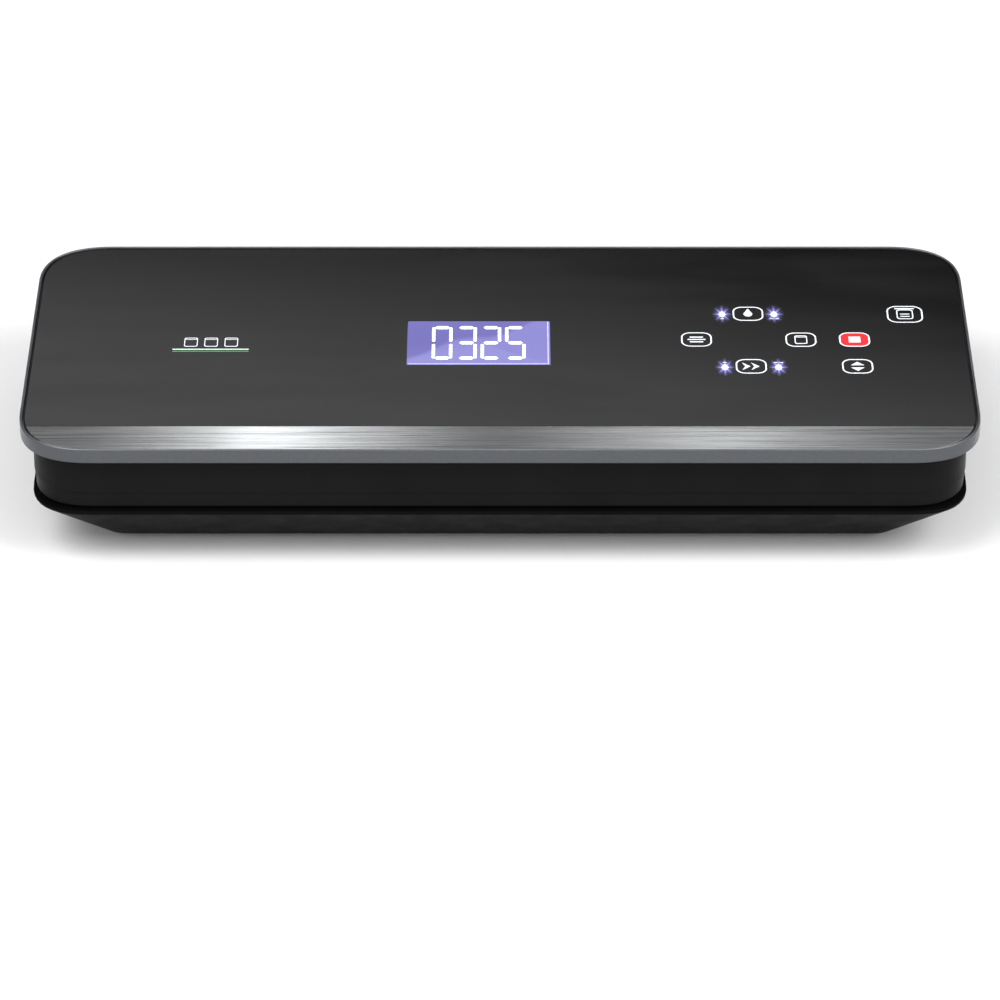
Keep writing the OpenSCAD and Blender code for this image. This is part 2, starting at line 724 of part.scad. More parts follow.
module inlet_pins() color([0.80, 0.78, 0.70])
    for (s = [-1, 1])
        rod_y(inlet_x + s * inlet_pin_x, hinge_y + flange_t - inlet_l - 1.5,
              hinge_y + flange_t - 3, rear_z, 1.18);

// ---------- lid lock ----------

module lock_shaft() color([0.70, 0.71, 0.73])
    rod_x(-catch_x - 4, catch_x + 4, lock_y, lock_z, shaft_r);

module hook(x) color([0.68, 0.69, 0.71]) difference() {
    translate([0, lock_y, lock_z]) along_x(x - hook_w / 2, x + hook_w / 2) difference() {
        union() {
            circle(5);
            polygon([[-3.5, 2], [3, 2], [3, hook_reach - 1.5], [1.5, hook_reach],
                     [-2, hook_reach], [-4, hook_reach - 1], [-4, hook_reach - 3],
                     [0.2, hook_reach - 3.5], [0.2, 10]]);
        }
        circle(shaft_r + snug);
    }
}

module sector_gear() color([0.90, 0.89, 0.84])
    translate([0, lock_y, lock_z]) along_x(sector_x, sector_x + gear_w) difference() {
        union() {
            circle(6.5);
            polygon(concat([[0, 0]], [for (k = [-4:3]) each tooth(sector_teeth, k)]));
        }
        circle(shaft_r + snug);
    }

module lock_pinion() color([0.85, 0.70, 0.35]) {
    translate([0, pinion_y, lock_z]) along_x(sector_x, sector_x + gear_w)
        polygon([for (k = [0:pinion_teeth - 1]) each tooth(pinion_teeth, k)]);
    rod_x(sector_x + gear_w, sector_x + gear_w + 8, pinion_y, lock_z, 2);
}

module lock_gearmotor() color([0.62, 0.63, 0.65]) {
    x = sector_x + gear_w + 2;
    difference() {
        union() {
            rod_x(x, x + gearbox_l, pinion_y, lock_z, gearbox_r);
            rod_x(x + gearbox_l, x + gearbox_l + lock_motor_l, pinion_y, lock_z, lock_motor_r);
        }
        rod_x(x - 1, x + 7, pinion_y, lock_z, 2 + run);
    }
}

module gearmotor_bracket() color([0.50, 0.51, 0.53]) {
    x = sector_x + gear_w + 2;
    difference() {
        union() {
            box(x + 4, x + 14, pinion_y - 14, pinion_y + 14, floor_z, lock_z);
            box(x + 34, x + 42, pinion_y - 12, pinion_y + 12, floor_z, lock_z);
        }
        rod_x(x, x + 20, pinion_y, lock_z, gearbox_r + snug);
        rod_x(x + 20, x + 60, pinion_y, lock_z, lock_motor_r + snug);
    }
}

module shaft_bearings() color([0.88, 0.87, 0.82])
    for (x = bearing_x)
        difference() {
            box(x - 4, x + 4, lock_y - 7, lock_y + 7, floor_z, lock_z + 6);
            rod_x(x - 5, x + 5, lock_y, lock_z, shaft_r + run);
        }

module lid_switch() color([0.10, 0.10, 0.10]) difference() {
    box(switch_x - 8, switch_x + 8, switch_y - 4, switch_y + 4, deck_low - 12, deck_low);
    rod_z(switch_x, switch_y, deck_low - 6.5, deck_low + 1, 2 + run);
}

module switch_plunger() color([0.80, 0.20, 0.15])
    rod_z(switch_x, switch_y, deck_low - 4.4, lid_under - 0.3, 2);

// ---------- lid ----------

module lid_frame() color([0.45, 0.46, 0.48]) difference() {
    union() {
        difference() {
            lid_slab(0, lid_under, body_h);
            lid_slab(rim_t, lid_under - 1, ledge_low);
            lid_slab(rim_t, panel_low, body_h + 1);
            lid_slab(rim_t + ledge_w, ledge_low - 1, panel_low + 1);
        }
        mirrored_x() for (s = [-1, 1]) {
            x = hinge_x + s * (knuckle_l / 2 + lug_gap + lug_l / 2);
            rod_x(x - lug_l / 2, x + lug_l / 2, hinge_y, part_z, knuckle_r);
            box(x - lug_l / 2, x + lug_l / 2, hinge_y - 3, lid_d / 2 - rim_t / 2, part_z + 0.6, panel_low);
        }
    }
    mirrored_x() {
        rod_x(hinge_x - 15, hinge_x + 15, hinge_y, part_z, pin_r + run);
        rod_x(hinge_x - knuckle_l / 2 - lug_gap, hinge_x + knuckle_l / 2 + lug_gap,
              hinge_y, part_z, knuckle_r + 0.4);
    }
    for (p = liner_screw_places())
        rod_z(p[0], p[1], ledge_low - 1, panel_low + 1, 1.15);
}

function liner_screw_places() = [
    for (sx = [-1, 1], sy = [-1, 1]) each [
        [sx * 40, sy * (lid_d / 2 - rim_t - ledge_w / 2)],
        [sx * (lid_w / 2 - rim_t - ledge_w / 2), sy * 30]
    ]
];

module strip_area(z0, z1) {
    box(-lid_w, lid_w, -lid_d, -lid_d / 2 + rim_t + panel_gap + strip_d, z0, z1);
}

module touch_panel() color([0.05, 0.05, 0.06]) difference() {
    lid_slab(rim_t + panel_gap, panel_low, panel_top);
    strip_area(panel_low - 1, panel_top + 1);
    box(display_x - display_w / 2, display_x + display_w / 2,
        display_y - display_d / 2, display_y + display_d / 2, panel_low - 1, panel_top + 1);
    for (p = leds)
        rod_z(key_x + p[0], key_y + p[1], panel_low - 1, panel_top + 1, led_r + 0.1);
}

module trim_strip() color([0.62, 0.64, 0.65]) intersection() {
    lid_slab(rim_t + panel_gap, panel_low, panel_top);
    strip_area(panel_low - 1, panel_top + 1);
}

module lid_liner() color([0.14, 0.14, 0.15]) difference() {
    union() {
        lid_slab(rim_t + fit, lid_under, ledge_low - 0.2);
        lid_slab(rim_t + ledge_w + fit, ledge_low - 0.3, liner_top);
        box(lid_box_x0, lid_box_x1, lid_box_y0, lid_box_y1, lid_box_low, liner_top);
    }
    difference() {
        box(lid_box_x0 + lid_box_t, lid_box_x1 - lid_box_t,
            lid_box_y0 + lid_box_t, lid_box_y1 - lid_box_t, lid_box_low + lid_box_t, liner_top + 1);
        for (p = board_bosses())
            rod_z(p[0], p[1], lid_box_low, board_z, 3);
    }
    channel_slab(0, lid_under - 1, lid_under + groove_h);
    channel_ring(gasket_off, gasket_off + gasket_w, lid_under - 1, lid_under + groove_h);
    box(-bar_x, bar_x, bar_y - press_w / 2, bar_y + press_w / 2, lid_under - 1, lid_under + groove_h);
    mirrored_x() {
        box(catch_x - catch_w / 2 - 0.1, catch_x + catch_w / 2 + 0.1, catch_y - catch_t / 2 - 0.1,
            catch_y + catch_t / 2 + 0.1, lid_under - 1, liner_top + 1);
        box(catch_x - catch_w / 2 - 3, catch_x + catch_w / 2 + 3, catch_y - 4, catch_y + 4,
            liner_top - 1.5, liner_top + 1);
        box(hinge_x - 13.5, hinge_x + 13.5, hinge_y - 4.2, lid_d, lid_under - 1, liner_top + 1);
    }
    for (p = liner_screw_places()) {
        rod_z(p[0], p[1], lid_under - 1, ledge_low + 1, 1.2);
        rod_z(p[0], p[1], lid_under - 1, lid_under + 1.2, 2.3);
    }
}

function board_bosses() = [
    for (x = [lid_box_x0 + 8, (lid_box_x0 + lid_box_x1) / 2 - 12, lid_box_x1 - 8],
         y = [lid_box_y0 + 8, lid_box_y1 - 8]) [x, y]
];

module liner_screws() color([0.55, 0.55, 0.57])
    for (p = liner_screw_places()) {
        rod_z(p[0], p[1], lid_under + 0.1, lid_under + 1.2, 2.1);
        rod_z(p[0], p[1], lid_under + 1.1, panel_low - 0.2, 1.1);
    }

module press_strip() color([0.45, 0.16, 0.12])
    box(-bar_x + 0.5, bar_x - 0.5, bar_y - press_w / 2 + 0.1, bar_y + press_w / 2 - 0.1,
        lid_under, lid_under + groove_h);

module control_board() color([0.14, 0.34, 0.17])
    box(lid_box_x0 + lid_box_t + 0.6, lid_box_x1 - lid_box_t - 0.6,
        lid_box_y0 + lid_box_t + 0.6, lid_box_y1 - lid_box_t - 0.6, board_z, board_z + board_t);

module control_parts() color([0.10, 0.10, 0.11]) {
    for (i = [0:3])
        box(lid_box_x0 + 30 + 40 * i, lid_box_x0 + 42 + 40 * i, lid_box_y0 + 20, lid_box_y0 + 32,
            board_z - 1.6, board_z);
    box(lid_box_x0 + 70, lid_box_x0 + 96, lid_box_y1 - 16, lid_box_y1 - 9, board_z - 4, board_z);
}

module display_module() color([0.50, 0.50, 0.80])
    box(display_x - display_w / 2 + 0.1, display_x + display_w / 2 - 0.1,
        display_y - display_d / 2 + 0.1, display_y + display_d / 2 - 0.1,
        board_z + board_t, panel_top - 0.1);

module touch_springs() color([0.75, 0.70, 0.55])
    for (p = keys)
        rod_z(key_x + p[0], key_y + p[1], board_z + board_t, panel_low - 0.1, key_r);

module indicator_leds() color([0.90, 0.92, 1.0])
    for (p = leds)
        rod_z(key_x + p[0], key_y + p[1], board_z + board_t, panel_top, led_r);

module lid_catch(x) color([0.66, 0.67, 0.69]) difference() {
    union() {
        box(x - catch_w / 2, x + catch_w / 2, catch_y - catch_t / 2, catch_y + catch_t / 2,
            catch_low, liner_top - 0.1);
        box(x - catch_w / 2 - 2.8, x + catch_w / 2 + 2.8, catch_y - 3.8, catch_y + 3.8,
            liner_top - 1.5, liner_top - 0.1);
    }
    box(x - hook_w / 2 - 1, x + hook_w / 2 + 1, catch_y - 5, catch_y + 5, window_low, window_high);
}

module hinge_pin(x) color([0.70, 0.71, 0.73])
    rod_x(x - knuckle_l / 2 - lug_gap - lug_l, x + knuckle_l / 2 + lug_gap + lug_l,
          hinge_y, part_z, pin_r);

// ---------- assembly ----------

bottom_tray();
base_shell();
deck();
channel_pan();
foot(-foot_x, -foot_y);  // foot_front_left
foot(foot_x, -foot_y);  // foot_front_right
foot(-foot_x, foot_y);  // foot_rear_left
foot(foot_x, foot_y);  // foot_rear_right
seal_bar();
heating_strip();
ptfe_cover();
lower_gasket();
drip_tray();
suction_port();
pump_motor();
pump_housing();
pump_head_front();
pump_head_rear();
pump_cradle();
suction_hose();
canister_hose();
release_valve();
vacuum_sensor();
power_board();
transformer();
board_parts();
power_inlet();
inlet_pins();
canister_port();
lock_gearmotor();
gearmotor_bracket();
shaft_bearings();
lid_switch();
case_screws();
hinge_pin(-hinge_x);  // hinge_pin_left
hinge_pin(hinge_x);  // hinge_pin_right
lid_frame();
touch_panel();
trim_strip();
lid_liner();
upper_gasket();
press_strip();
display_module();
control_board();
control_parts();
touch_springs();
indicator_leds();
lid_catch(-catch_x);  // catch_left
lid_catch(catch_x);  // catch_right
liner_screws();
lock_shaft();
hook(-catch_x);  // hook_left
hook(catch_x);  // hook_right
sector_gear();
lock_pinion();
switch_plunger();
pump_crank();
piston_yoke();
piston_seals();
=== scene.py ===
import json
import math

import bmesh
import bpy
from mathutils import Matrix, Vector

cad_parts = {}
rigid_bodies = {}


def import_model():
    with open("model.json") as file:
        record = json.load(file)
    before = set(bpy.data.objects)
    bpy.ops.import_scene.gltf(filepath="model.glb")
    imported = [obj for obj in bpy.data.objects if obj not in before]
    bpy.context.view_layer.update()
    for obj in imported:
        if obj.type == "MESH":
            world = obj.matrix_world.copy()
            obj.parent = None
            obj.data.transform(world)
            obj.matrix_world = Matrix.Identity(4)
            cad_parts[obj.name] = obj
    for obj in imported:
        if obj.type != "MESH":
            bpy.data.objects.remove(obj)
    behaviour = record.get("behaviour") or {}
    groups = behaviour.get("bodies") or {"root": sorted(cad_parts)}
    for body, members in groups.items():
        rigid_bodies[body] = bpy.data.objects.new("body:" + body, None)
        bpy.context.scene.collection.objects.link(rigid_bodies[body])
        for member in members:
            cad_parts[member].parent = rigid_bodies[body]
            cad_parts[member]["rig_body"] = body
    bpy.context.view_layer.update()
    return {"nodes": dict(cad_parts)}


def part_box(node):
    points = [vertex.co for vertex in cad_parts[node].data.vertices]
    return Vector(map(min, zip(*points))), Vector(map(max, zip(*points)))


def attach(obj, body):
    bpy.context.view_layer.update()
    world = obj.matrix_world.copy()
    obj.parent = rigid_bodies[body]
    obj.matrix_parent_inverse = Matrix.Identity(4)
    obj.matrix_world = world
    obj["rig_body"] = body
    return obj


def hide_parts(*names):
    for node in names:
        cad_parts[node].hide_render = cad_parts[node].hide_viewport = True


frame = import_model()

bl_info = {
    "name": "Vacuum Sealer Finish",
    "version": (1, 0, 0),
    "blender": (4, 5, 0),
    "location": "View3D > Sidebar > Sealer",
    "description": "Builds the finished surfaces of a countertop vacuum sealer on its CAD frame",
    "category": "Object",
}

MM = 0.001
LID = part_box("lid_frame")
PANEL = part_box("touch_panel")
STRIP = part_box("trim_strip")
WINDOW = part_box("display_module")
GASKET_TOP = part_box("upper_gasket")
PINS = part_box("hinge_pin_right")


# ---------- colours and small geometry ----------

def lin(*rgb):
    """Screen colour, 0 to 255, as the linear colour a shader takes."""
    out = []
    for v in rgb:
        c = v / 255.0
        out.append(c / 12.92 if c <= 0.04045 else ((c + 0.055) / 1.055) ** 2.4)
    return (out[0], out[1], out[2], 1.0)


def rounded(w, d, r, n=2.5, steps=22):
    """Plan outline with squared-off corners, anticlockwise, in metres."""
    pts = []
    for q in range(4):
        sx = 1 if q in (0, 3) else -1
        sy = 1 if q < 2 else -1
        for i in range(steps + 1):
            t = math.pi / 2 * i / steps
            c = max(0.0, math.cos(t)) ** (2 / n)
            s = max(0.0, math.sin(t)) ** (2 / n)
            if q % 2:
                c, s = s, c
            pts.append((sx * (w / 2 - r + r * c), sy * (d / 2 - r + r * s)))
    return pts


def new_piece(name, bm, smooth=35):
    """Turns a bmesh into a finished object whose place is in its mesh."""
    bmesh.ops.remove_doubles(bm, verts=bm.verts, dist=1e-6)
    bmesh.ops.recalc_face_normals(bm, faces=bm.faces)
    mesh = bpy.data.meshes.new(name)
    bm.to_mesh(mesh)
    bm.free()
    mesh.polygons.foreach_set("use_smooth", [True] * len(mesh.polygons))
    mesh.set_sharp_from_angle(angle=math.radians(smooth))
    piece = bpy.data.objects.new(name, mesh)
    bpy.context.scene.collection.objects.link(piece)
    return piece


def sweep(bm, profile, w, d, r, n, centre=(0, 0), steps=22):
    """Sweeps a closed profile of (inset, z) points round a squared-off outline."""
    rings = []
    for inset, z in profile:
        ring = rounded(w - 2 * inset, d - 2 * inset, max(0.0005, r - inset), n, steps)
        rings.append([bm.verts.new((x + centre[0], y + centre[1], z)) for x, y in ring])
    count = len(rings[0])
    for k, low in enumerate(rings):
        high = rings[(k + 1) % len(rings)]
        for i in range(count):
            j = (i + 1) % count
            bm.faces.new((low[i], low[j], high[j], high[i]))


def loft(bm, rings, cap_low=True, cap_high=True):
    """Joins rings of (x, y, z) points of equal length, and closes the ends."""
    made = [[bm.verts.new(p) for p in ring] for ring in rings]
    count = len(made[0])
    for low, high in zip(made, made[1:]):
        for i in range(count):
            j = (i + 1) % count
            bm.faces.new((low[i], low[j], high[j], high[i]))
    if cap_low:
        bm.faces.new(list(reversed(made[0])))
    if cap_high:
        bm.faces.new(made[-1])


def prism(bm, pts, z0, z1, edge=0.0):
    """Upright prism on a plan outline, with its top edge eased by edge."""
    rings = [[(x, y, z0) for x, y in pts], [(x, y, z1 - edge) for x, y in pts]]
    if edge:
        cx = sum(p[0] for p in pts) / len(pts)
        cy = sum(p[1] for p in pts) / len(pts)
        for k in (1, 2, 3):
            a = math.pi / 6 * k
            pull = edge * (1 - math.cos(a))
            ring = []
            for x, y in pts:
                away = Vector((x - cx, y - cy))
                gx = math.copysign(min(pull, abs(away.x)), away.x)
                gy = math.copysign(min(pull, abs(away.y)), away.y)
                ring.append((x - gx, y - gy, z1 - edge + edge * math.sin(a)))
            rings.append(ring)
    loft(bm, rings)


def block(bm, lo, hi):
    """Plain box between two corners, used inside larger pieces and as a cutter."""
    verts = bmesh.ops.create_cube(bm, size=1.0)["verts"]
    for v in verts:
        for k in range(3):
            v.co[k] = (lo[k] + hi[k]) / 2 + v.co[k] * (hi[k] - lo[k])


def turned(bm, profile, centre, axis="Z", segments=48):
    """Turns a closed profile of (radius, height) points about an axis through centre."""
    spin = {"Z": Matrix.Identity(3), "X": Matrix.Rotation(math.pi / 2, 3, "Y"),
            "Y": Matrix.Rotation(-math.pi / 2, 3, "X")}[axis]
    rings = []
    for k in range(segments):
        a = 2 * math.pi * k / segments
        rings.append([bm.verts.new(spin @ Vector((r * math.cos(a), r * math.sin(a), h)) + Vector(centre))
                      for r, h in profile])
    for k, ring in enumerate(rings):
        nxt = rings[(k + 1) % segments]
        for i in range(len(profile)):
            j = (i + 1) % len(profile)
            if profile[i][0] == 0 and profile[j][0] == 0:
                continue
            quad = [ring[i], nxt[i], nxt[j], ring[j]]
            if profile[i][0] == 0:
                quad = [ring[i], nxt[j], ring[j]]
            elif profile[j][0] == 0:
                quad = [ring[i], nxt[i], ring[j]]
            bm.faces.new(quad)


def cut(piece, fill, operation="DIFFERENCE", smooth=35):
    """Applies an exact boolean between piece and the shapes that fill() draws."""
    bm = bmesh.new()
    fill(bm)
    tool = new_piece("cutter", bm)
    mod = piece.modifiers.new("cut", "BOOLEAN")
    mod.operation = operation
    mod.solver = "EXACT"
    mod.use_self = True
    mod.object = tool
    bake(piece, smooth)
    bpy.data.objects.remove(tool)


def bake(piece, smooth=35):
    """Applies every modifier on a piece, and marks its sharp edges again where smooth is an angle."""
    graph = bpy.context.evaluated_depsgraph_get()
    mesh = bpy.data.meshes.new_from_object(piece.evaluated_get(graph))
    piece.modifiers.clear()
    old = piece.data
    piece.data = mesh
    bpy.data.meshes.remove(old)
    if smooth:
        mesh.polygons.foreach_set("use_smooth", [True] * len(mesh.polygons))
        mesh.set_sharp_from_angle(angle=math.radians(smooth))


def merged_copy(node, name, flatten=True):
    """Copies a CAD node with its doubles merged and its flat faces joined."""
    bm = bmesh.new()
    bm.from_mesh(frame["nodes"][node].data)
    bmesh.ops.remove_doubles(bm, verts=bm.verts, dist=2e-6)
    if flatten:
        bmesh.ops.dissolve_limit(bm, angle_limit=math.radians(0.5), verts=bm.verts, edges=bm.edges)
    mesh = bpy.data.meshes.new(name)
    bm.to_mesh(mesh)
    bm.free()
    mesh.polygons.foreach_set("use_smooth", [True] * len(mesh.polygons))
    mesh.set_sharp_from_angle(angle=math.radians(30))
    piece = bpy.data.objects.new(name, mesh)
    bpy.context.scene.collection.objects.link(piece)
    return piece


def ease_edges(piece, width, segments=2):
    """Rounds the sharp edges of a piece by a small radius."""
    mod = piece.modifiers.new("eased edges", "BEVEL")
    mod.width = width
    mod.segments = segments
    mod.limit_method = "ANGLE"
    mod.angle_limit = math.radians(40)
    mod.use_clamp_overlap = False
    flat = piece.modifiers.new("flat faces", "WEIGHTED_NORMAL")
    flat.mode = "FACE_AREA"
    flat.weight = 100
    bake(piece, None)


def islands(node):
    """Centres of the separate solids in a CAD node, left to right."""
    bm = bmesh.new()
    bm.from_mesh(frame["nodes"][node].data)
    bmesh.ops.remove_doubles(bm, verts=bm.verts, dist=2e-6)
    seen = set()
    found = []
    for start in bm.verts:
        if start in seen:
            continue
        stack, group = [start], []
        seen.add(start)
        while stack:
            v = stack.pop()
            group.append(v.co.copy())
            for e in v.link_edges:
                other = e.other_vert(v)
                if other not in seen:
                    seen.add(other)
                    stack.append(other)
        lo = Vector(min(p[k] for p in group) for k in range(3))
        hi = Vector(max(p[k] for p in group) for k in range(3))
        found.append(((lo + hi) / 2, lo, hi))
    bm.free()
    return sorted(found, key=lambda f: (round(f[0].x, 4), round(f[0].y, 4)))


def dress(piece, material, body, slot, *nodes):
    """Gives a piece its material and the body it rides on, and hides the CAD nodes it stands for."""
    piece.data.materials.clear()
    piece.data.materials.append(material)
    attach(piece, body)
    if nodes:
        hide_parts(*nodes)


# ---------- materials ----------

class Finish:
    """Builds one node material: object coordinates into textures into a Principled shader."""

    def __init__(self, name, colour, rough, metal=0.0, specular=0.5):
        self.material = bpy.data.materials.new(name)
        self.material.use_nodes = True
        self.tree = self.material.node_tree
        self.tree.nodes.clear()
        self.out = self.tree.nodes.new("ShaderNodeOutputMaterial")
        self.shader = self.tree.nodes.new("ShaderNodeBsdfPrincipled")
        self.link(self.shader.outputs["BSDF"], self.out.inputs["Surface"])
        self.coords = self.tree.nodes.new("ShaderNodeTexCoord").outputs["Object"]
        self.colour = colour
        self.rough = rough
        self.shader.inputs["Base Color"].default_value = colour
        self.shader.inputs["Roughness"].default_value = rough
        self.shader.inputs["Metallic"].default_value = metal
        self.shader.inputs["Specular IOR Level"].default_value = specular
        self.normal = None

    def link(self, a, b):
        self.tree.links.new(a, b)

    def node(self, kind, **values):
        made = self.tree.nodes.new("ShaderNode" + kind)
        for key, value in values.items():
            if key in made.inputs:
                made.inputs[key].default_value = value
            else:
                setattr(made, key, value)
        return made

    def scaled(self, sx, sy, sz):
        """Object coordinates stretched along the axes, for brushed and woven patterns."""
        mapping = self.node("Mapping")
        mapping.inputs["Scale"].default_value = (sx, sy, sz)
        self.link(self.coords, mapping.inputs["Vector"])
        return mapping.outputs["Vector"]

    def noise(self, scale, detail=3.0, coords=None):
        tex = self.node("TexNoise", Scale=scale, Detail=detail)
        self.link(coords or self.coords, tex.inputs["Vector"])
        return tex.outputs["Fac"]

    def ranged(self, value, low, high, start=0.35, end=0.65):
        remap = self.node("MapRange")
        remap.inputs["From Min"].default_value = start
        remap.inputs["From Max"].default_value = end
        remap.inputs["To Min"].default_value = low
        remap.inputs["To Max"].default_value = high
        self.link(value, remap.inputs["Value"])
        return remap.outputs["Result"]

    def blend(self, value, first, second):
        mix = self.node("Mix", data_type="RGBA")
        self.link(value, mix.inputs[0])
        for socket, c in ((mix.inputs[6], first), (mix.inputs[7], second)):
            if hasattr(c, "links"):
                self.link(c, socket)
            else:
                socket.default_value = c
        return mix.outputs[2]

    def math(self, operation, a, b=0.0, c=0.0):
        made = self.node("Math", operation=operation)
        for k, v in enumerate((a, b, c)):
            if hasattr(v, "links"):
                self.link(v, made.inputs[k])
            else:
                made.inputs[k].default_value = v
        return made.outputs[0]

    def mottle(self, scale, amount, value=None):
        """Uneven colour: the base colour, lighter and darker by amount."""
        value = value or self.noise(scale)
        dark = tuple(c * (1 - amount) for c in self.colour[:3]) + (1,)
        light = tuple(min(1, c * (1 + amount)) for c in self.colour[:3]) + (1,)
        fac = self.ranged(value, 0, 1)
        self.link(self.blend(fac, dark, light), self.shader.inputs["Base Color"])

    def polish(self, scale, low, high, value=None):
        """Uneven roughness between low and high."""
        value = value or self.noise(scale, 5.0)
        self.link(self.ranged(value, low, high), self.shader.inputs["Roughness"])

    def relief(self, value, strength, depth):
        """Adds a height to the surface; later calls sit on earlier ones."""
        bump = self.node("Bump", Strength=strength, Distance=depth)
        self.link(value, bump.inputs["Height"])
        if self.normal:
            self.link(self.normal, bump.inputs["Normal"])
        self.normal = bump.outputs["Normal"]
        self.link(self.normal, self.shader.inputs["Normal"])

    def glow(self, colour, strength):
        if hasattr(colour, "links"):
            self.link(colour, self.shader.inputs["Emission Color"])
        else:
            self.shader.inputs["Emission Color"].default_value = colour
        self.shader.inputs["Emission Strength"].default_value = strength


def moulded(name, colour, rough=0.45, grain=1800, depth=0.00003, specular=0.4, shade=0.12):
    """Injection-moulded plastic: faint flow marks in the colour and a spark-eroded grain."""
    f = Finish(name, colour, rough, 0.0, specular)
    f.mottle(35, shade)
    f.polish(90, rough - 0.05, rough + 0.07)
    f.relief(f.noise(grain, 2.0), 0.25, depth)
    f.relief(f.noise(60, 1.0), 0.05, depth * 3)
    return f.material


def plated(name, colour, rough=0.32, spangle=420):
    """Zinc or nickel plate over drawn or turned steel."""
    f = Finish(name, colour, rough, 1.0)
    cells = f.node("TexVoronoi", Scale=spangle)
    f.link(f.coords, cells.inputs["Vector"])
    f.mottle(spangle, 0.12, cells.outputs["Distance"])
    f.polish(260, rough - 0.08, rough + 0.1)
    f.relief(f.noise(900, 3.0), 0.12, 0.00002)
    return f.material


def rubbery(name, colour, rough=0.7):
    """Moulded rubber or silicone with a dusty bloom and a fine skin."""
    f = Finish(name, colour, rough, 0.0, 0.3)
    f.shader.inputs["Sheen Weight"].default_value = 0.15
    f.shader.inputs["Sheen Roughness"].default_value = 0.5
    f.mottle(140, 0.25)
    f.polish(300, rough - 0.1, rough + 0.1)
    f.relief(f.noise(2600, 3.0), 0.3, 0.00004)
    return f.material


def gloss_black(name):
    """High-gloss panel: black, with faint wiping marks and dust in the polish."""
    f = Finish(name, lin(8, 8, 9), 0.08, 0.0, 0.5)
    f.mottle(12, 0.18)
    wiped = f.noise(26, 4.0, f.scaled(0.4, 1.6, 1.0))
    f.polish(30, 0.06, 0.1, wiped)
    f.relief(f.noise(2200, 2.0), 0.02, 0.00001)
    return f.material


def gunmetal(name):
    """Dark metallic lacquer with fine flake, on the lid's rim."""
    f = Finish(name, lin(84, 86, 89), 0.34, 0.9)
    flake = f.node("TexVoronoi", Scale=5200.0)
    f.link(f.coords, flake.inputs["Vector"])
    f.mottle(5200, 0.16, flake.outputs["Distance"])
    f.polish(55, 0.3, 0.4)
    f.relief(f.noise(1500, 2.0), 0.06, 0.00002)
    return f.material


def fill_ramp(ramp, stops, tint, blending):
    """Sets a colour ramp's stops, each a place and a level that tints the one colour."""
    ramp.color_ramp.interpolation = blending
    while len(ramp.color_ramp.elements) < len(stops):
        ramp.color_ramp.elements.new(0.5)
    for element, (at, level) in zip(ramp.color_ramp.elements, stops):
        element.position = at
        element.color = (*(level * part for part in tint), 1)


def brushed(name):
    """Stainless strip, brushed along its length, with painted highlights: two soft broad bright bands along
    it, its ends and middle darker.
    """
    f = Finish(name, lin(205, 208, 209), 0.3, 1.0)
    lines = f.noise(1.0, 6.0, f.scaled(18, 5200, 5200))
    broad = f.noise(1.0, 2.0, f.scaled(10, 420, 420))
    place = f.node("SeparateXYZ")
    f.link(f.coords, place.inputs[0])
    # painted highlights: this ramp along the strip's length paints two bright bands where the strip would
    # reflect the studio light, and darker ends and middle
    ramp = f.node("ValToRGB")
    stops = ((0.0, 0.12), (0.1, 0.14), (0.2, 0.6), (0.25, 0.98), (0.32, 0.6), (0.44, 0.13), (0.54, 0.13),
             (0.66, 0.37), (0.73, 0.49), (0.8, 0.34), (0.9, 0.15), (1.0, 0.12))
    fill_ramp(ramp, stops, (0.87, 0.89, 0.895), "B_SPLINE")
    along = f.ranged(place.outputs["X"], 0, 1, STRIP[0][0], STRIP[1][0])
    f.link(along, ramp.inputs["Fac"])
    grain = f.math("ADD", f.math("MULTIPLY", lines, 0.65), f.math("MULTIPLY", broad, 0.35))
    mixed = f.node("Mix", data_type="RGBA", blend_type="MULTIPLY")
    mixed.inputs[0].default_value = 1.0
    f.link(ramp.outputs["Color"], mixed.inputs[6])
    f.link(f.blend(f.ranged(grain, 0, 1, 0.3, 0.7), (0.72, 0.73, 0.74, 1), (1, 1, 1, 1)), mixed.inputs[7])
    f.link(mixed.outputs[2], f.shader.inputs["Base Color"])
    f.polish(1, 0.24, 0.4, lines)
    f.shader.inputs["Anisotropic"].default_value = 0.8
    tangent = f.node("CombineXYZ", Y=1.0)
    f.link(tangent.outputs[0], f.shader.inputs["Tangent"])
    f.relief(lines, 0.2, 0.00003)
    return f.material


def foam(name):
    """Closed-cell foam gasket: small pits, darkened by painted shade, over a soft black ground."""
    f = Finish(name, lin(34, 34, 36), 0.85, 0.0, 0.25)
    cells = f.node("TexVoronoi", Scale=2600.0)
    f.link(f.coords, cells.inputs["Vector"])
    # painted shade: the colour darkens towards each cell's centre, where the pits sink
    f.mottle(2600, 0.45, cells.outputs["Distance"])
    f.relief(cells.outputs["Distance"], 0.6, 0.00012)
    f.relief(f.noise(500, 3.0), 0.3, 0.0001)
    f.shader.inputs["Sheen Weight"].default_value = 0.2
    return f.material


def coated_cloth(name):
    """PTFE-coated glass cloth: a tight plain weave, with painted shade where the weave sinks between the
    threads.
    """
    f = Finish(name, lin(150, 118, 82), 0.5, 0.0, 0.5)
    waves = []
    for direction in ("X", "Y"):
        wave = f.node("TexWave", wave_type="BANDS", bands_direction=direction, Scale=320.0, Distortion=0.6)
        f.link(f.coords, wave.inputs["Vector"])
        waves.append(wave.outputs["Fac"])
    weave = f.math("MULTIPLY", waves[0], waves[1])
    # painted shade: the colour darkens where the weave sinks
    f.mottle(1, 0.35, f.ranged(weave, 0.3, 0.7, 0, 1))
    f.relief(weave, 0.5, 0.00008)
    f.polish(120, 0.42, 0.58)
    return f.material


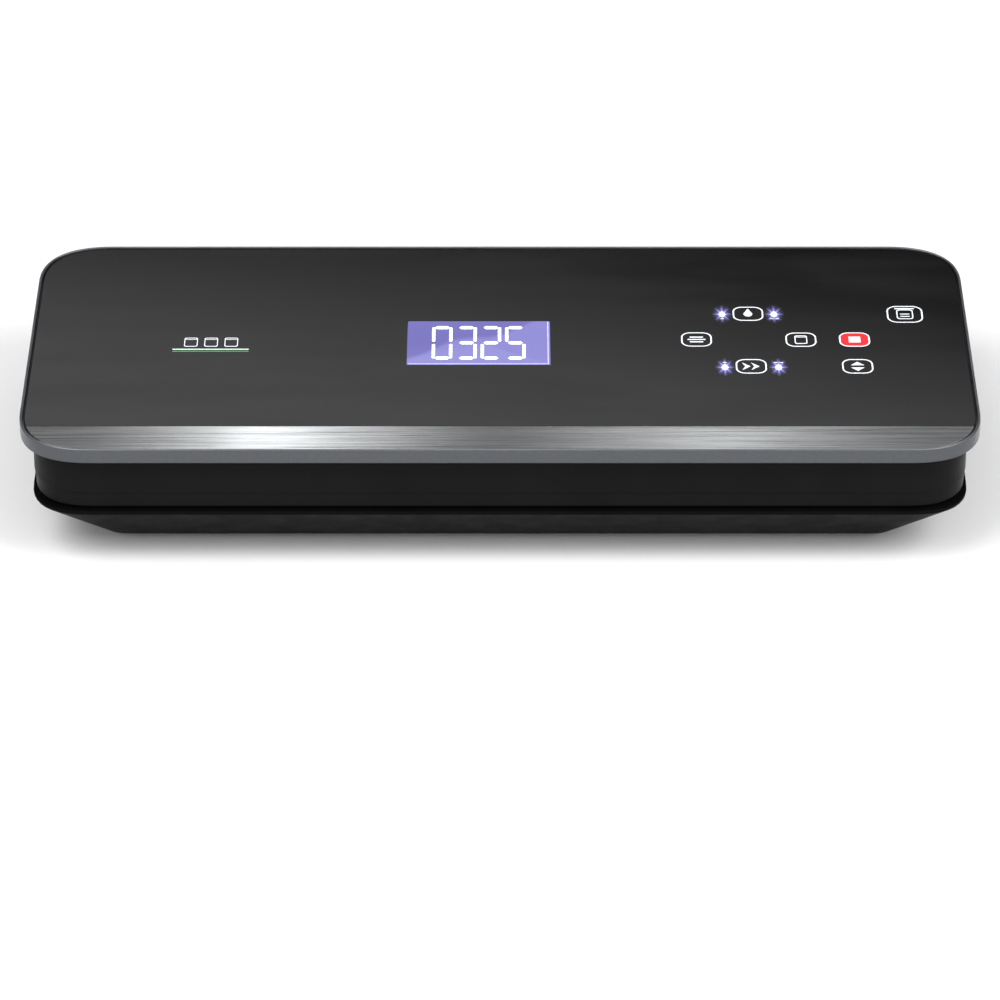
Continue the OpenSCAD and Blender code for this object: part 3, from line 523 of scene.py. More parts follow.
def phenolic(name):
    """Brown heat-resistant moulding with a cloudy filler."""
    f = Finish(name, lin(86, 58, 40), 0.5, 0.0, 0.4)
    cloud = f.node("TexNoise", Scale=70.0, Detail=8.0, Distortion=1.2)
    f.link(f.coords, cloud.inputs["Vector"])
    f.mottle(70, 0.3, cloud.outputs["Fac"])
    f.polish(160, 0.42, 0.6)
    f.relief(f.noise(1400, 3.0), 0.25, 0.00004)
    return f.material


def circuit_board(name):
    """Green solder mask over copper runs."""
    f = Finish(name, lin(20, 74, 40), 0.35, 0.0, 0.5)
    runs = f.node("TexBrick", Scale=240.0)
    runs.inputs["Mortar Size"].default_value = 0.05
    runs.inputs["Color1"].default_value = lin(20, 74, 40)
    runs.inputs["Color2"].default_value = lin(26, 86, 48)
    runs.inputs["Mortar"].default_value = lin(70, 140, 84)
    f.link(f.coords, runs.inputs["Vector"])
    f.link(runs.outputs["Color"], f.shader.inputs["Base Color"])
    f.relief(runs.outputs["Fac"], 0.3, 0.00004)
    f.polish(200, 0.28, 0.42)
    return f.material


def clear_tube(name):
    """Milky silicone tube."""
    f = Finish(name, lin(206, 208, 206), 0.35, 0.0, 0.5)
    f.shader.inputs["Subsurface Weight"].default_value = 0.25
    f.shader.inputs["Subsurface Scale"].default_value = 0.002
    f.mottle(90, 0.08)
    f.polish(160, 0.28, 0.42)
    f.relief(f.noise(700, 2.0), 0.1, 0.00003)
    return f.material


def laminated(name):
    """Varnished transformer core: thin stacked sheets."""
    f = Finish(name, lin(72, 72, 78), 0.45, 0.4)
    sheets = f.node("TexWave", wave_type="BANDS", bands_direction="Z", Scale=420.0, Distortion=0.4)
    f.link(f.coords, sheets.inputs["Vector"])
    f.mottle(1, 0.4, f.ranged(sheets.outputs["Fac"], 0.3, 0.7, 0, 1))
    f.relief(sheets.outputs["Fac"], 0.5, 0.0001)
    f.polish(150, 0.38, 0.55)
    return f.material


def backlight(name, settings):
    """Backlit display: violet-blue light of its own under a clear cover, painted paler towards its front
    right as a reflection on the cover.
    """
    f = Finish(name, lin(30, 30, 52), 0.16, 0.0, 0.4)
    place = f.node("SeparateXYZ")
    f.link(f.coords, place.inputs[0])
    mid_x = (WINDOW[0][0] + WINDOW[1][0]) / 2
    mid_y = (WINDOW[0][1] + WINDOW[1][1]) / 2
    half_x = (WINDOW[1][0] - WINDOW[0][0]) / 2
    half_y = (WINDOW[1][1] - WINDOW[0][1]) / 2
    u = f.math("DIVIDE", f.math("SUBTRACT", place.outputs["X"], mid_x), half_x)
    v = f.math("DIVIDE", f.math("SUBTRACT", place.outputs["Y"], mid_y), half_y)
    bend = f.math("MULTIPLY", f.math("SINE", f.math("MULTIPLY", u, 5.0)), 0.16)
    # painted reflection: past this slanting, gently bent line the display's light is painted paler towards
    # its front right
    reflection_slant = f.math("SUBTRACT", f.math("SUBTRACT", f.math("MULTIPLY", u, 0.85), v), bend)
    drift = f.math("ADD", reflection_slant, f.math("MULTIPLY", f.noise(120, 2.0), 0.12))
    fac = f.ranged(drift, 0, 1, -0.28, -0.1)
    deep = tuple(settings.backlight) + (1,)
    painted_reflection_tint = tuple(min(1.0, c * 1.18 + 0.07) for c in settings.backlight) + (1,)
    f.glow(f.blend(fac, deep, painted_reflection_tint), 0.82)
    f.polish(90, 0.12, 0.2)
    f.relief(f.noise(900, 1.0), 0.03, 0.00002)
    return f.material


def printed(name, colour, glow=0.35):
    """Screen-printed ink: slightly uneven cover, glowing in its own colour: the light of the display and the
    indicator lenses, and a painted glow on the key marks and emblem.
    """
    f = Finish(name, colour, 0.4, 0.0, 0.4)
    f.mottle(700, 0.06)
    f.polish(500, 0.34, 0.46)
    f.relief(f.noise(2400, 2.0), 0.2, 0.00001)
    f.glow(colour, glow)
    return f.material


def star_glow(name):
    """Glare round an indicator light, drawn on the panel's own black by the piece's map."""
    f = Finish(name, lin(13, 13, 14), 0.11, 0.0, 0.5)
    uv = f.node("TexCoord").outputs["UV"]
    place = f.node("SeparateXYZ")
    f.link(uv, place.inputs[0])
    x = f.math("MULTIPLY_ADD", place.outputs["X"], 2.0, -1.0)
    y = f.math("MULTIPLY_ADD", place.outputs["Y"], 2.0, -1.0)
    far = f.math("SQRT", f.math("ADD", f.math("MULTIPLY", x, x), f.math("MULTIPLY", y, y)))
    turn = f.math("ARCTAN2", y, x)
    rays = f.math("POWER", f.math("ABSOLUTE", f.math("COSINE", f.math("MULTIPLY", turn, 4.0))), 7.0)
    fine = f.math("POWER", f.math("ABSOLUTE", f.math("COSINE", f.math("MULTIPLY", turn, 9.0))), 9.0)
    rim = f.math("MAXIMUM", f.math("SUBTRACT", 1.0, far), 0.0)
    spikes = f.math("ADD", f.math("MULTIPLY", rays, 1.0), f.math("MULTIPLY", fine, 0.45))
    ray_light = f.math("MULTIPLY", f.math("POWER", rim, 1.5), f.math("MULTIPLY", spikes, 2.2))
    haze = f.math("MULTIPLY", f.math("POWER", rim, 3.5), 2.6)
    light = f.math("ADD", ray_light, haze)
    core = f.ranged(far, 1.0, 0.0, 0.16, 0.34)
    f.link(f.blend(core, lin(150, 150, 235), (1, 1, 1, 1)), f.shader.inputs["Emission Color"])
    f.link(f.math("ADD", light, core), f.shader.inputs["Emission Strength"])
    f.polish(60, 0.1, 0.14)
    return f.material


def paper_floor(name):
    """Seamless white studio sweep."""
    f = Finish(name, (0.8, 0.8, 0.8, 1), 0.9, 0.0, 0.1)
    f.mottle(3, 0.01)
    f.relief(f.noise(400, 3.0), 0.05, 0.0002)
    side = f.node("NewGeometry").outputs["Backfacing"]
    shade = f.node("LightPath").outputs["Is Shadow Ray"]
    clear = f.node("BsdfTransparent")
    mix = f.node("MixShader")
    f.link(f.math("MAXIMUM", side, shade), mix.inputs[0])
    f.link(f.shader.outputs["BSDF"], mix.inputs[1])
    f.link(clear.outputs[0], mix.inputs[2])
    f.link(mix.outputs[0], f.out.inputs["Surface"])
    return f.material


# ---------- settings ----------

class SealerSizes(bpy.types.PropertyGroup):
    rim_round: bpy.props.FloatProperty(name="Rim rounding", description="Radius of the lid rim's upper edge",
                                       default=0.0005, min=0.0001, max=0.0006, unit="LENGTH")
    key_ring: bpy.props.FloatProperty(name="Key ring width", description="Width of a key's printed ring",
                                      default=0.0131, min=0.010, max=0.018, unit="LENGTH")
    key_line: bpy.props.FloatProperty(name="Key line", description="Width of a key's printed line",
                                      default=0.00066, min=0.0004, max=0.0015, unit="LENGTH")
    digit_wide: bpy.props.FloatProperty(name="Digit width", description="Width of a display digit",
                                        default=0.0091, min=0.006, max=0.010, unit="LENGTH")
    digit_deep: bpy.props.FloatProperty(name="Digit depth", description="Depth of a display digit",
                                        default=0.0303, min=0.020, max=0.032, unit="LENGTH")
    digit_pitch: bpy.props.FloatProperty(name="Digit pitch", description="Distance between digits",
                                         default=0.0109, min=0.0095, max=0.013, unit="LENGTH")
    readout: bpy.props.StringProperty(name="Readout", description="Digits on the display", default="0325")


class SealerColours(bpy.types.PropertyGroup):
    backlight: bpy.props.FloatVectorProperty(name="Backlight", description="Light of the display",
                                             default=lin(133, 128, 205)[:3], subtype="COLOR", min=0, max=1)
    print_white: bpy.props.FloatVectorProperty(name="Print", description="Printed marks on the panel",
                                               default=lin(225, 230, 235)[:3], subtype="COLOR", min=0, max=1)
    stop_red: bpy.props.FloatVectorProperty(name="Stop key", description="Fill of the stop key",
                                            default=lin(226, 36, 42)[:3], subtype="COLOR", min=0, max=1)
    accent: bpy.props.FloatVectorProperty(name="Accent", description="Line beside the pouch emblem",
                                          default=lin(60, 160, 70)[:3], subtype="COLOR", min=0, max=1)
    shell: bpy.props.FloatVectorProperty(name="Shell", description="Plastic of the housing",
                                         default=lin(14, 14, 15)[:3], subtype="COLOR", min=0, max=1)


# ---------- lid ----------

class SEALER_OT_lid_rim(bpy.types.Operator):
    """Metallic rim round the lid, with its hinge lugs"""
    bl_idname = "sealer.lid_rim"
    bl_label = "Lid rim"

    def execute(self, context):
        soft = context.scene.sealer_sizes.rim_round
        size = LID[1] - LID[0]
        top = LID[1].z
        foot = GASKET_TOP[0].z
        wall = 1.2 * MM
        ledge_low = GASKET_TOP[1].z
        ledge_top = PANEL[0].z
        ledge_in = 9.2 * MM
        profile = [(0.25 * MM, foot), (0, foot + 0.25 * MM)]
        for k in range(6):
            a = math.pi / 2 * k / 5
            profile.append((soft * (1 - math.cos(a)), top - soft + soft * math.sin(a)))
        for k in range(4):
            a = math.pi / 2 * k / 3
            profile.append((wall - 0.3 * MM * (1 - math.sin(a)), top - 0.3 * MM * (1 - math.cos(a))))
        profile += [(wall, ledge_top), (ledge_in, ledge_top), (ledge_in, ledge_low),
                    (wall, ledge_low), (wall, foot + 0.2 * MM), (wall - 0.2 * MM, foot)]
        bm = bmesh.new()
        sweep(bm, profile, size.x, size.y, 34 * MM, 2.5, (0, 0), 30)
        rim = new_piece("lid_rim", bm, 30)
        rear = (PINS[0].y + PINS[1].y) / 2
        level = (PINS[0].z + PINS[1].z) / 2
        hinge_x = (PINS[0].x + PINS[1].x) / 2
        lug = 3.2 * MM

        def lugs(tool):
            for sx in (-1, 1):
                for off in (-9.4 * MM, 9.4 * MM):
                    x = sx * hinge_x + off
                    turned(tool, [(0, -3 * MM), (lug, -3 * MM), (lug, 3 * MM), (0, 3 * MM)],
                           (x, rear, level), "X", 40)
                    block(tool, (x - 3 * MM, rear, level - 1.5 * MM),
                          (x + 3 * MM, LID[1].y - wall, ledge_low + 0.2 * MM))

        def clearances(tool):
            for sx in (-1, 1):
                x = sx * hinge_x
                turned(tool, [(0, -6.4 * MM), (3.6 * MM, -6.4 * MM), (3.6 * MM, 6.4 * MM), (0, 6.4 * MM)],
                       (x, rear, level), "X", 48)
                turned(tool, [(0, -14 * MM), (1.56 * MM, -14 * MM), (1.56 * MM, 14 * MM), (0, 14 * MM)],
                       (x, rear, level), "X", 32)

        cut(rim, lugs, "UNION")
        cut(rim, clearances)
        finish = gunmetal("rim_lacquer")
        dress(rim, finish, "lid", "rim_gunmetal", "lid_frame")
        return {"FINISHED"}


def panel_sheet(name, y_low, y_high):
    """Sheet between two depths of the lid's recess, with an eased upper edge."""
    low, top = PANEL[0].z, PANEL[1].z
    edge = 0.35 * MM
    seam = 0.12 * MM
    base = rounded(2 * PANEL[1].x, 2 * PANEL[1].y, 32.1 * MM, 2.5, 30)
    steps = []
    for k, (x, y) in enumerate(base):
        nxt = base[(k + 1) % len(base)][1]
        if y_low <= y <= y_high:
            steps.append((k, 0.0))
        for bound in (y_low, y_high):
            if min(y, nxt) < bound < max(y, nxt):
                steps.append((k, (bound - y) / (nxt - y)))
    bm = bmesh.new()
    rings = []
    for inset, z in ((0, low), (0, top - edge), (0.1 * MM, top - 0.4 * edge), (edge, top)):
        ring = rounded(2 * PANEL[1].x - 2 * inset, 2 * PANEL[1].y - 2 * inset, 32.1 * MM - inset, 2.5, 30)
        made = []
        for k, t in steps:
            a, b = ring[k], ring[(k + 1) % len(ring)]
            y = a[1] + (b[1] - a[1]) * t
            pull = min(inset, seam)
            made.append((a[0] + (b[0] - a[0]) * t, min(max(y, y_low + pull), y_high - pull), z))
        rings.append(made)
    loft(bm, rings)
    return new_piece(name, bm, 25)


class SEALER_OT_top_panel(bpy.types.Operator):
    """Gloss panel, brushed strip and display set in the lid"""
    bl_idname = "sealer.top_panel"
    bl_label = "Top panel"

    def execute(self, context):
        panel = panel_sheet("gloss_panel", PANEL[0].y, PANEL[1].y)
        room = 0.1 * MM
        lights = [c for c, lo, hi in islands("indicator_leds")]

        def openings(tool):
            block(tool, (WINDOW[0].x - room, WINDOW[0].y - room, PANEL[0].z - MM),
                  (WINDOW[1].x + room, WINDOW[1].y + room, PANEL[1].z + MM))
            for c in lights:
                turned(tool, [(0, -3 * MM), (1.6 * MM, -3 * MM), (1.6 * MM, 3 * MM), (0, 3 * MM)],
                       (c.x, c.y, PANEL[1].z - MM), "Z", 24)

        cut(panel, openings, smooth=20)
        dress(panel, gloss_black("panel_gloss_black"), "lid", "panel_gloss", "touch_panel")
        strip = panel_sheet("brushed_strip", STRIP[0].y, STRIP[1].y)
        dress(strip, brushed("brushed_steel_painted_highlights"), "lid", "trim_steel", "trim_strip")
        bm = bmesh.new()
        mid = (WINDOW[0] + WINDOW[1]) / 2
        size = WINDOW[1] - WINDOW[0]
        outline = [(x + mid.x, y + mid.y) for x, y in rounded(size.x, size.y, 0.8 * MM, 2, 6)]
        prism(bm, outline, WINDOW[0].z, WINDOW[1].z, 0.1 * MM)
        glass = new_piece("display", bm)
        dress(glass, backlight("display_light_painted_reflection", context.scene.sealer_colours), "lid", "display_blue",
              "display_module")
        return {"FINISHED"}


SEGMENTS = {"0": "abcdef", "1": "bc", "2": "abged", "3": "abgcd", "4": "fgbc", "5": "afgcd",
            "6": "afgedc", "7": "abc", "8": "abcdefg", "9": "abcdfg"}


def segment(bm, x, y, length, thick, upright, z0, z1):
    """One bevelled bar of a display digit."""
    half, tip, side = length / 2, length / 2 - thick * 0.35, thick / 2
    pts = [(-half, 0), (-tip, -side), (tip, -side), (half, 0), (tip, side), (-tip, side)]
    if upright:
        pts = [(-b, a) for a, b in pts]
    prism(bm, [(x + a, y + b) for a, b in pts], z0, z1)


class SEALER_OT_digits(bpy.types.Operator):
    """Digits of the display, drawn as separate bars"""
    bl_idname = "sealer.digits"
    bl_label = "Display digits"

    def execute(self, context):
        sizes = context.scene.sealer_sizes
        z0, z1 = WINDOW[1].z - 0.05 * MM, WINDOW[1].z + 0.06 * MM
        mid = (WINDOW[0] + WINDOW[1]) / 2
        wide, deep = sizes.digit_wide, sizes.digit_deep
        bm = bmesh.new()
        for k, figure in enumerate(sizes.readout):
            cx = mid.x + (k - (len(sizes.readout) - 1) / 2) * sizes.digit_pitch
            across, along = wide * 0.72, deep * 0.43
            thick, thin = deep * 0.086, wide * 0.155
            top, side = deep / 2 - thick / 2, wide / 2 - thin / 2
            bars = {"a": (0, top, 0), "g": (0, 0, 0), "d": (0, -top, 0), "f": (-side, deep / 4, 1),
                    "b": (side, deep / 4, 1), "e": (-side, -deep / 4, 1), "c": (side, -deep / 4, 1)}
            for name in SEGMENTS[figure]:
                dx, dy, upright = bars[name]
                if upright:
                    segment(bm, cx + dx, mid.y + dy, along, thin, True, z0, z1)
                else:
                    segment(bm, cx + dx, mid.y + dy, across, thick, False, z0, z1)
        piece = new_piece("display_digits", bm)
        dress(piece, printed("digit_white", lin(236, 240, 250), 0.9), "lid", "display_blue")
        bm = bmesh.new()
        line, gap = 0.5 * MM, 0.7 * MM
        block(bm, (WINDOW[1].x - gap - line, WINDOW[0].y + gap, z0),
              (WINDOW[1].x - gap, WINDOW[1].y - gap, z1))
        block(bm, (WINDOW[0].x + gap, WINDOW[0].y + gap, z0),
              (WINDOW[1].x - gap - 1.2 * line, WINDOW[0].y + gap + line, z1))
        edge = new_piece("display_edge", bm)
        dress(edge, printed("display_edge_light", lin(178, 172, 224), 0.6), "lid", "display_blue")
        return {"FINISHED"}


# ---------- printed marks ----------

def key_places():
    """Centres of the touch keys, found from the contact springs under them."""
    found = sorted((c for c, lo, hi in islands("touch_springs")), key=lambda c: c.x)
    left = sorted(found[1:3], key=lambda c: c.y)
    right = sorted(found[4:6], key=lambda c: c.y)
    names = ("seal", "speed", "food", "vac_seal", "open_close", "stop", "marinate")
    order = (found[0], left[0], left[1], found[3], right[0], right[1], found[6])
    back = Vector((0, 0.8 * MM, 0))
    return {name: centre + back for name, centre in zip(names, order)}


def key_ring_tree():
    """Node tree: a rounded outline ring on every point of the mesh it is given."""
    tree = bpy.data.node_groups.new("key_rings", "GeometryNodeTree")
    face = tree.interface
    face.new_socket("Geometry", in_out="INPUT", socket_type="NodeSocketGeometry")
    for name in ("Width", "Depth", "Corner", "Line", "Height"):
        face.new_socket(name, in_out="INPUT", socket_type="NodeSocketFloat")
    face.new_socket("Ink", in_out="INPUT", socket_type="NodeSocketMaterial")
    face.new_socket("Geometry", in_out="OUTPUT", socket_type="NodeSocketGeometry")
    make = tree.nodes.new
    link = tree.links.new
    source = make("NodeGroupInput")
    quad = make("GeometryNodeCurvePrimitiveQuadrilateral")
    link(source.outputs["Width"], quad.inputs["Width"])
    link(source.outputs["Depth"], quad.inputs["Height"])
    fillet = make("GeometryNodeFilletCurve")
    if "Mode" in fillet.inputs:
        fillet.inputs["Mode"].default_value = "Poly"
    else:
        fillet.mode = "POLY"
    fillet.inputs["Count"].default_value = 8
    link(quad.outputs["Curve"], fillet.inputs["Curve"])
    link(source.outputs["Corner"], fillet.inputs["Radius"])
    upright = make("GeometryNodeSetCurveNormal")
    if "Mode" in upright.inputs:
        upright.inputs["Mode"].default_value = "Z Up"
    else:
        upright.mode = "Z_UP"
    link(fillet.outputs["Curve"], upright.inputs["Curve"])
    section = make("GeometryNodeCurvePrimitiveQuadrilateral")
    link(source.outputs["Line"], section.inputs["Width"])
    link(source.outputs["Height"], section.inputs["Height"])
    body = make("GeometryNodeCurveToMesh")
    link(upright.outputs["Curve"], body.inputs["Curve"])
    link(section.outputs["Curve"], body.inputs["Profile Curve"])
    spread = make("GeometryNodeInstanceOnPoints")
    link(source.outputs["Geometry"], spread.inputs["Points"])
    link(body.outputs["Mesh"], spread.inputs["Instance"])
    finish_tree(tree, source, spread.outputs["Instances"])
    return tree


def finish_tree(tree, source, instances):
    """Ends a node tree: real geometry, its material, and the output."""
    real = tree.nodes.new("GeometryNodeRealizeInstances")
    tree.links.new(instances, real.inputs["Geometry"])
    coat = tree.nodes.new("GeometryNodeSetMaterial")
    tree.links.new(real.outputs["Geometry"], coat.inputs["Geometry"])
    material = next(s for s in source.outputs if s.type == "MATERIAL")
    tree.links.new(material, coat.inputs["Material"])
    out = tree.nodes.new("NodeGroupOutput")
    tree.links.new(coat.outputs["Geometry"], out.inputs["Geometry"])


def grow(name, points, tree, **values):
    """Runs a node tree on a set of points and keeps its result as a plain mesh."""
    mesh = bpy.data.meshes.new(name + "_points")
    mesh.from_pydata([tuple(p) for p in points], [], [])
    piece = bpy.data.objects.new(name, mesh)
    bpy.context.scene.collection.objects.link(piece)
    mod = piece.modifiers.new("nodes", "NODES")
    mod.node_group = tree
    for item in tree.interface.items_tree:
        if item.in_out == "INPUT" and item.name in values:
            mod[item.identifier] = values[item.name]
    bake(piece)
    if not piece.data.polygons:
        raise RuntimeError(f"{name}: its node tree made no faces")
    return piece


def ring_of(bm, pts, width, z0, z1):
    """Flat band along a closed outline round its own centre."""
    cx = sum(p[0] for p in pts) / len(pts)
    cy = sum(p[1] for p in pts) / len(pts)
    reach = max(math.hypot(x - cx, y - cy) for x, y in pts)
    inner = [(x - (x - cx) * width / reach, y - (y - cy) * width / reach) for x, y in pts]
    rings = []
    for path, z in ((pts, z0), (pts, z1), (inner, z1), (inner, z0)):
        rings.append([bm.verts.new((x, y, z)) for x, y in path])
    for k, ring in enumerate(rings):
        nxt = rings[(k + 1) % 4]
        for i in range(len(pts)):
            j = (i + 1) % len(pts)
            bm.faces.new((ring[i], ring[j], nxt[j], nxt[i]))


def shifted(pts, centre, scale=1.0 * MM):
    """Points in millimetres round a centre, as places in metres."""
    return [(centre.x + x * scale, centre.y + y * scale) for x, y in pts]


def bar(x, y, w, d):
    """Corners of a rectangle round a point, anticlockwise."""
    return [(x - w / 2, y - d / 2), (x + w / 2, y - d / 2), (x + w / 2, y + d / 2), (x - w / 2, y + d / 2)]


def drop(size):
    """Outline of a drop of marinade."""
    pts = []
    for k in range(24):
        a = 2 * math.pi * k / 24
        lift = 1.0 + 0.75 * max(0.0, math.sin(a)) ** 3
        pts.append((size * 0.8 * math.cos(a) * (1.0 - 0.35 * max(0, math.sin(a))), size * math.sin(a) * lift))
    return pts


def pouch(bm, centre, size, z0, z1):
    """Outline of a pouch with its seal across the top."""
    outline = [(x * size, y * size) for x, y in rounded(1.5, 2.0, 0.25, 2, 5)]
    ring_of(bm, shifted(outline, centre), 0.55 * MM, z0, z1)
    prism(bm, shifted(bar(0, 0.62 * size, 1.5 * size, 0.35), centre), z0, z1)


def marks_of_key(bm, name, c, z0, z1):
    """Simple symbol for each key's job."""
    if name == "seal":
        for k in (-1, 0, 1):
            prism(bm, shifted(bar(0, 1.7 * k, 6.4 - 1.6 * abs(k), 0.7), c), z0, z1)
    elif name == "speed":
        for k in (-1.6, 1.6):
            prism(bm, shifted([(k - 1.6, -2.6), (k + 1.3, 0), (k - 1.6, 2.6), (k - 0.5, 0)], c), z0, z1)
    elif name == "food":
        prism(bm, shifted(drop(2.0), c), z0, z1)
    elif name == "vac_seal":
        pouch(bm, c, 3.0, z0, z1)
    elif name == "open_close":
        prism(bm, shifted([(-2.4, 0.8), (2.4, 0.8), (0, 3.2)], c), z0, z1)
        prism(bm, shifted([(-2.4, -0.8), (0, -3.2), (2.4, -0.8)], c), z0, z1)
    elif name == "marinate":
        ring_of(bm, shifted(rounded(6.0, 7.0, 1.2, 2, 5), c), 0.55 * MM, z0, z1)
        prism(bm, shifted(bar(0, 4.2, 7.0, 0.8), c), z0, z1)
        for k in (-1.5, 0.2):
            prism(bm, shifted(bar(0, k, 3.4, 0.5), c), z0, z1)
    else:
        prism(bm, shifted(bar(0, 0, 4.2, 4.2), c), z0, z1)


class SEALER_OT_keys(bpy.types.Operator):
    """Printed rings and symbols of the touch keys, and the pouch emblem"""
    bl_idname = "sealer.keys"
    bl_label = "Touch keys"

    def execute(self, context):
        sizes = context.scene.sealer_sizes
        colours = context.scene.sealer_colours
        white = tuple(colours.print_white) + (1,)
        # painted glow: the white ink of the key marks and the emblem glows faintly, with no lamp behind it
        ink = printed("key_ink_painted_glow", white, 0.3)
        level = PANEL[1].z
        z0, z1 = level - 0.03 * MM, level + 0.05 * MM
        places = key_places()
        plain = [Vector((c.x, c.y, level)) for name, c in places.items() if name != "marinate"]
        rings = grow("key_rings", plain, key_ring_tree(), Width=sizes.key_ring, Depth=sizes.key_ring * 0.927,
                     Corner=4 * MM, Line=sizes.key_line, Height=0.1 * MM, Ink=ink)
        dress(rings, ink, "lid", "panel_gloss")
        big = places["marinate"]
        wide_ring = grow("canister_key_ring", [Vector((big.x, big.y, level))], key_ring_tree(),
                         Width=sizes.key_ring * 1.183, Depth=sizes.key_ring * 1.115, Corner=4.4 * MM,
                         Line=sizes.key_line, Height=0.1 * MM, Ink=ink)
        dress(wide_ring, ink, "lid", "panel_gloss")
        bm = bmesh.new()
        for name, c in places.items():
            marks_of_key(bm, name, c, z0, z1)
            grown = [v for v in bm.verts if not v.tag]
            round_key = Matrix.Translation(-Vector((c.x, c.y, 0)))
            bmesh.ops.scale(bm, vec=(1.25, 1.25, 1), space=round_key, verts=grown)
            for v in grown:
                v.tag = True
        lights = sorted((c for c, lo, hi in islands("indicator_leds")), key=lambda c: (c.y, c.x))
        for k, c in enumerate(lights):
            away = 4.2 if c.y < 0 else -4.2
            for n in range(k % 2 + 1):
                prism(bm, shifted(bar((n - (k % 2) / 2) * 2.4, away, 1.7, 0.5), c), z0, z1)
        symbols = new_piece("key_symbols", bm)
        dress(symbols, ink, "lid", "panel_gloss")
        bm = bmesh.new()
        stop = places["stop"]
        prism(bm, shifted(rounded(12.5, 11.5, 3.4, 2.2, 8), stop), z0 - 0.01 * MM, z1 - 0.015 * MM)
        fill = new_piece("stop_key_fill", bm)
        # painted glow: the stop key's red fill glows faintly, with no lamp behind it
        dress(fill, printed("stop_ink_painted_glow", tuple(colours.stop_red) + (1,), 0.3), "lid", "panel_gloss")
        emblem = Vector((PANEL[0].x + 79 * MM, 3.4 * MM, 0))
        bm = bmesh.new()
        for k in range(3):
            pouch(bm, emblem + Vector(((k - 1) * 9 * MM, 0, 0)), 4.0, z0, z1)
        prism(bm, shifted(bar(0, -6.4, 34, 0.7), emblem), z0, z1)
        badge = new_piece("pouch_emblem", bm)
        dress(badge, ink, "lid", "panel_gloss")
        bm = bmesh.new()
        prism(bm, shifted(bar(0, -8.2, 34, 0.6), emblem), z0, z1)
        line = new_piece("emblem_line", bm)
        # painted glow: the green accent line glows faintly, with no lamp behind it
        dress(line, printed("accent_ink_painted_glow", tuple(colours.accent) + (1,), 0.4), "lid", "panel_gloss")
        return {"FINISHED"}


class SEALER_OT_lights(bpy.types.Operator):
    """Indicator lights, each with the glare it throws on the gloss round it"""
    bl_idname = "sealer.lights"
    bl_label = "Indicator lights"

    def execute(self, context):
        level = PANEL[1].z
        domes = bmesh.new()
        halos = bmesh.new()
        uv = halos.loops.layers.uv.new("glare")
        reach = Vector((4.6 * MM, 8.6 * MM))
        for c, lo, hi in islands("indicator_leds"):
            r = (hi.x - lo.x) / 2
            dome = [(0, lo.z), (r, lo.z)]
            for k in range(5):
                a = math.pi / 2 * k / 4
                dome.append((r * math.cos(a), level - 0.1 * MM + 0.3 * MM * math.sin(a)))
            turned(domes, dome[:-1] + [(0, dome[-1][1])], (c.x, c.y, 0), "Z", 28)
            pts = [(c.x + reach.x * math.cos(math.pi * k / 24), c.y + reach.y * math.sin(math.pi * k / 24))
                   for k in range(48)]
            first = len(halos.faces)
            prism(halos, pts, level - 0.02 * MM, level + 0.025 * MM)
            halos.faces.ensure_lookup_table()
            for face in halos.faces[first:]:
                for loop in face.loops:
                    loop[uv].uv = ((loop.vert.co.x - c.x) / reach.x / 2 + 0.5,
                                   (loop.vert.co.y - c.y) / reach.y / 2 + 0.5)
        lamps = new_piece("indicator_domes", domes)
        dress(lamps, printed("led_lens", lin(244, 246, 255), 1.6), "lid", "led_white", "indicator_leds")
        glare = new_piece("indicator_glare", halos)

        def lens_holes(tool):
            for c, lo, hi in islands("indicator_leds"):
                r = (hi.x - lo.x) / 2 + 0.05 * MM
                turned(tool, [(0, -MM), (r, -MM), (r, MM), (0, MM)], (c.x, c.y, level), "Z", 28)

        cut(glare, lens_holes, smooth=20)
        dress(glare, star_glow("led_glare"), "lid", "led_white")
        return {"FINISHED"}


# ---------- eased CAD parts, screws and springs ----------

EASED = {
    "base_shell": 0.35, "bottom_tray": 0.4, "deck": 0.3, "channel_pan": 0.25, "lid_liner": 0.25,
    "drip_tray": 0.3, "seal_bar": 0.4, "press_strip": 0.9, "lower_gasket": 0.8, "upper_gasket": 0.8,
    "power_inlet": 0.25, "canister_port": 0.25, "catch_left": 0.2, "catch_right": 0.2,
    "foot_front_left": 0.4, "foot_front_right": 0.4, "foot_rear_left": 0.4, "foot_rear_right": 0.4,
    "switch_plunger": 0.3, "lid_switch": 0.25, "transformer": 0.3, "lock_shaft": 0.2,
}


def node_slot(node):
    """Record slot of a CAD node, which its imported material is named after."""
    return frame["nodes"][node].data.materials[0].name.split(".")[0]


class SEALER_OT_mouldings(bpy.types.Operator):
    """Housing, tray, gaskets and other parts with their edges eased as moulded or pressed parts have"""
    bl_idname = "sealer.mouldings"
    bl_label = "Mouldings"

    def execute(self, context):
        for node, width in EASED.items():
            piece = merged_copy(node, node + "_eased")
            ease_edges(piece, width * MM)
            dress(piece, finish_of(node_slot(node)), frame["nodes"][node]["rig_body"], node_slot(node), node)
        return {"FINISHED"}


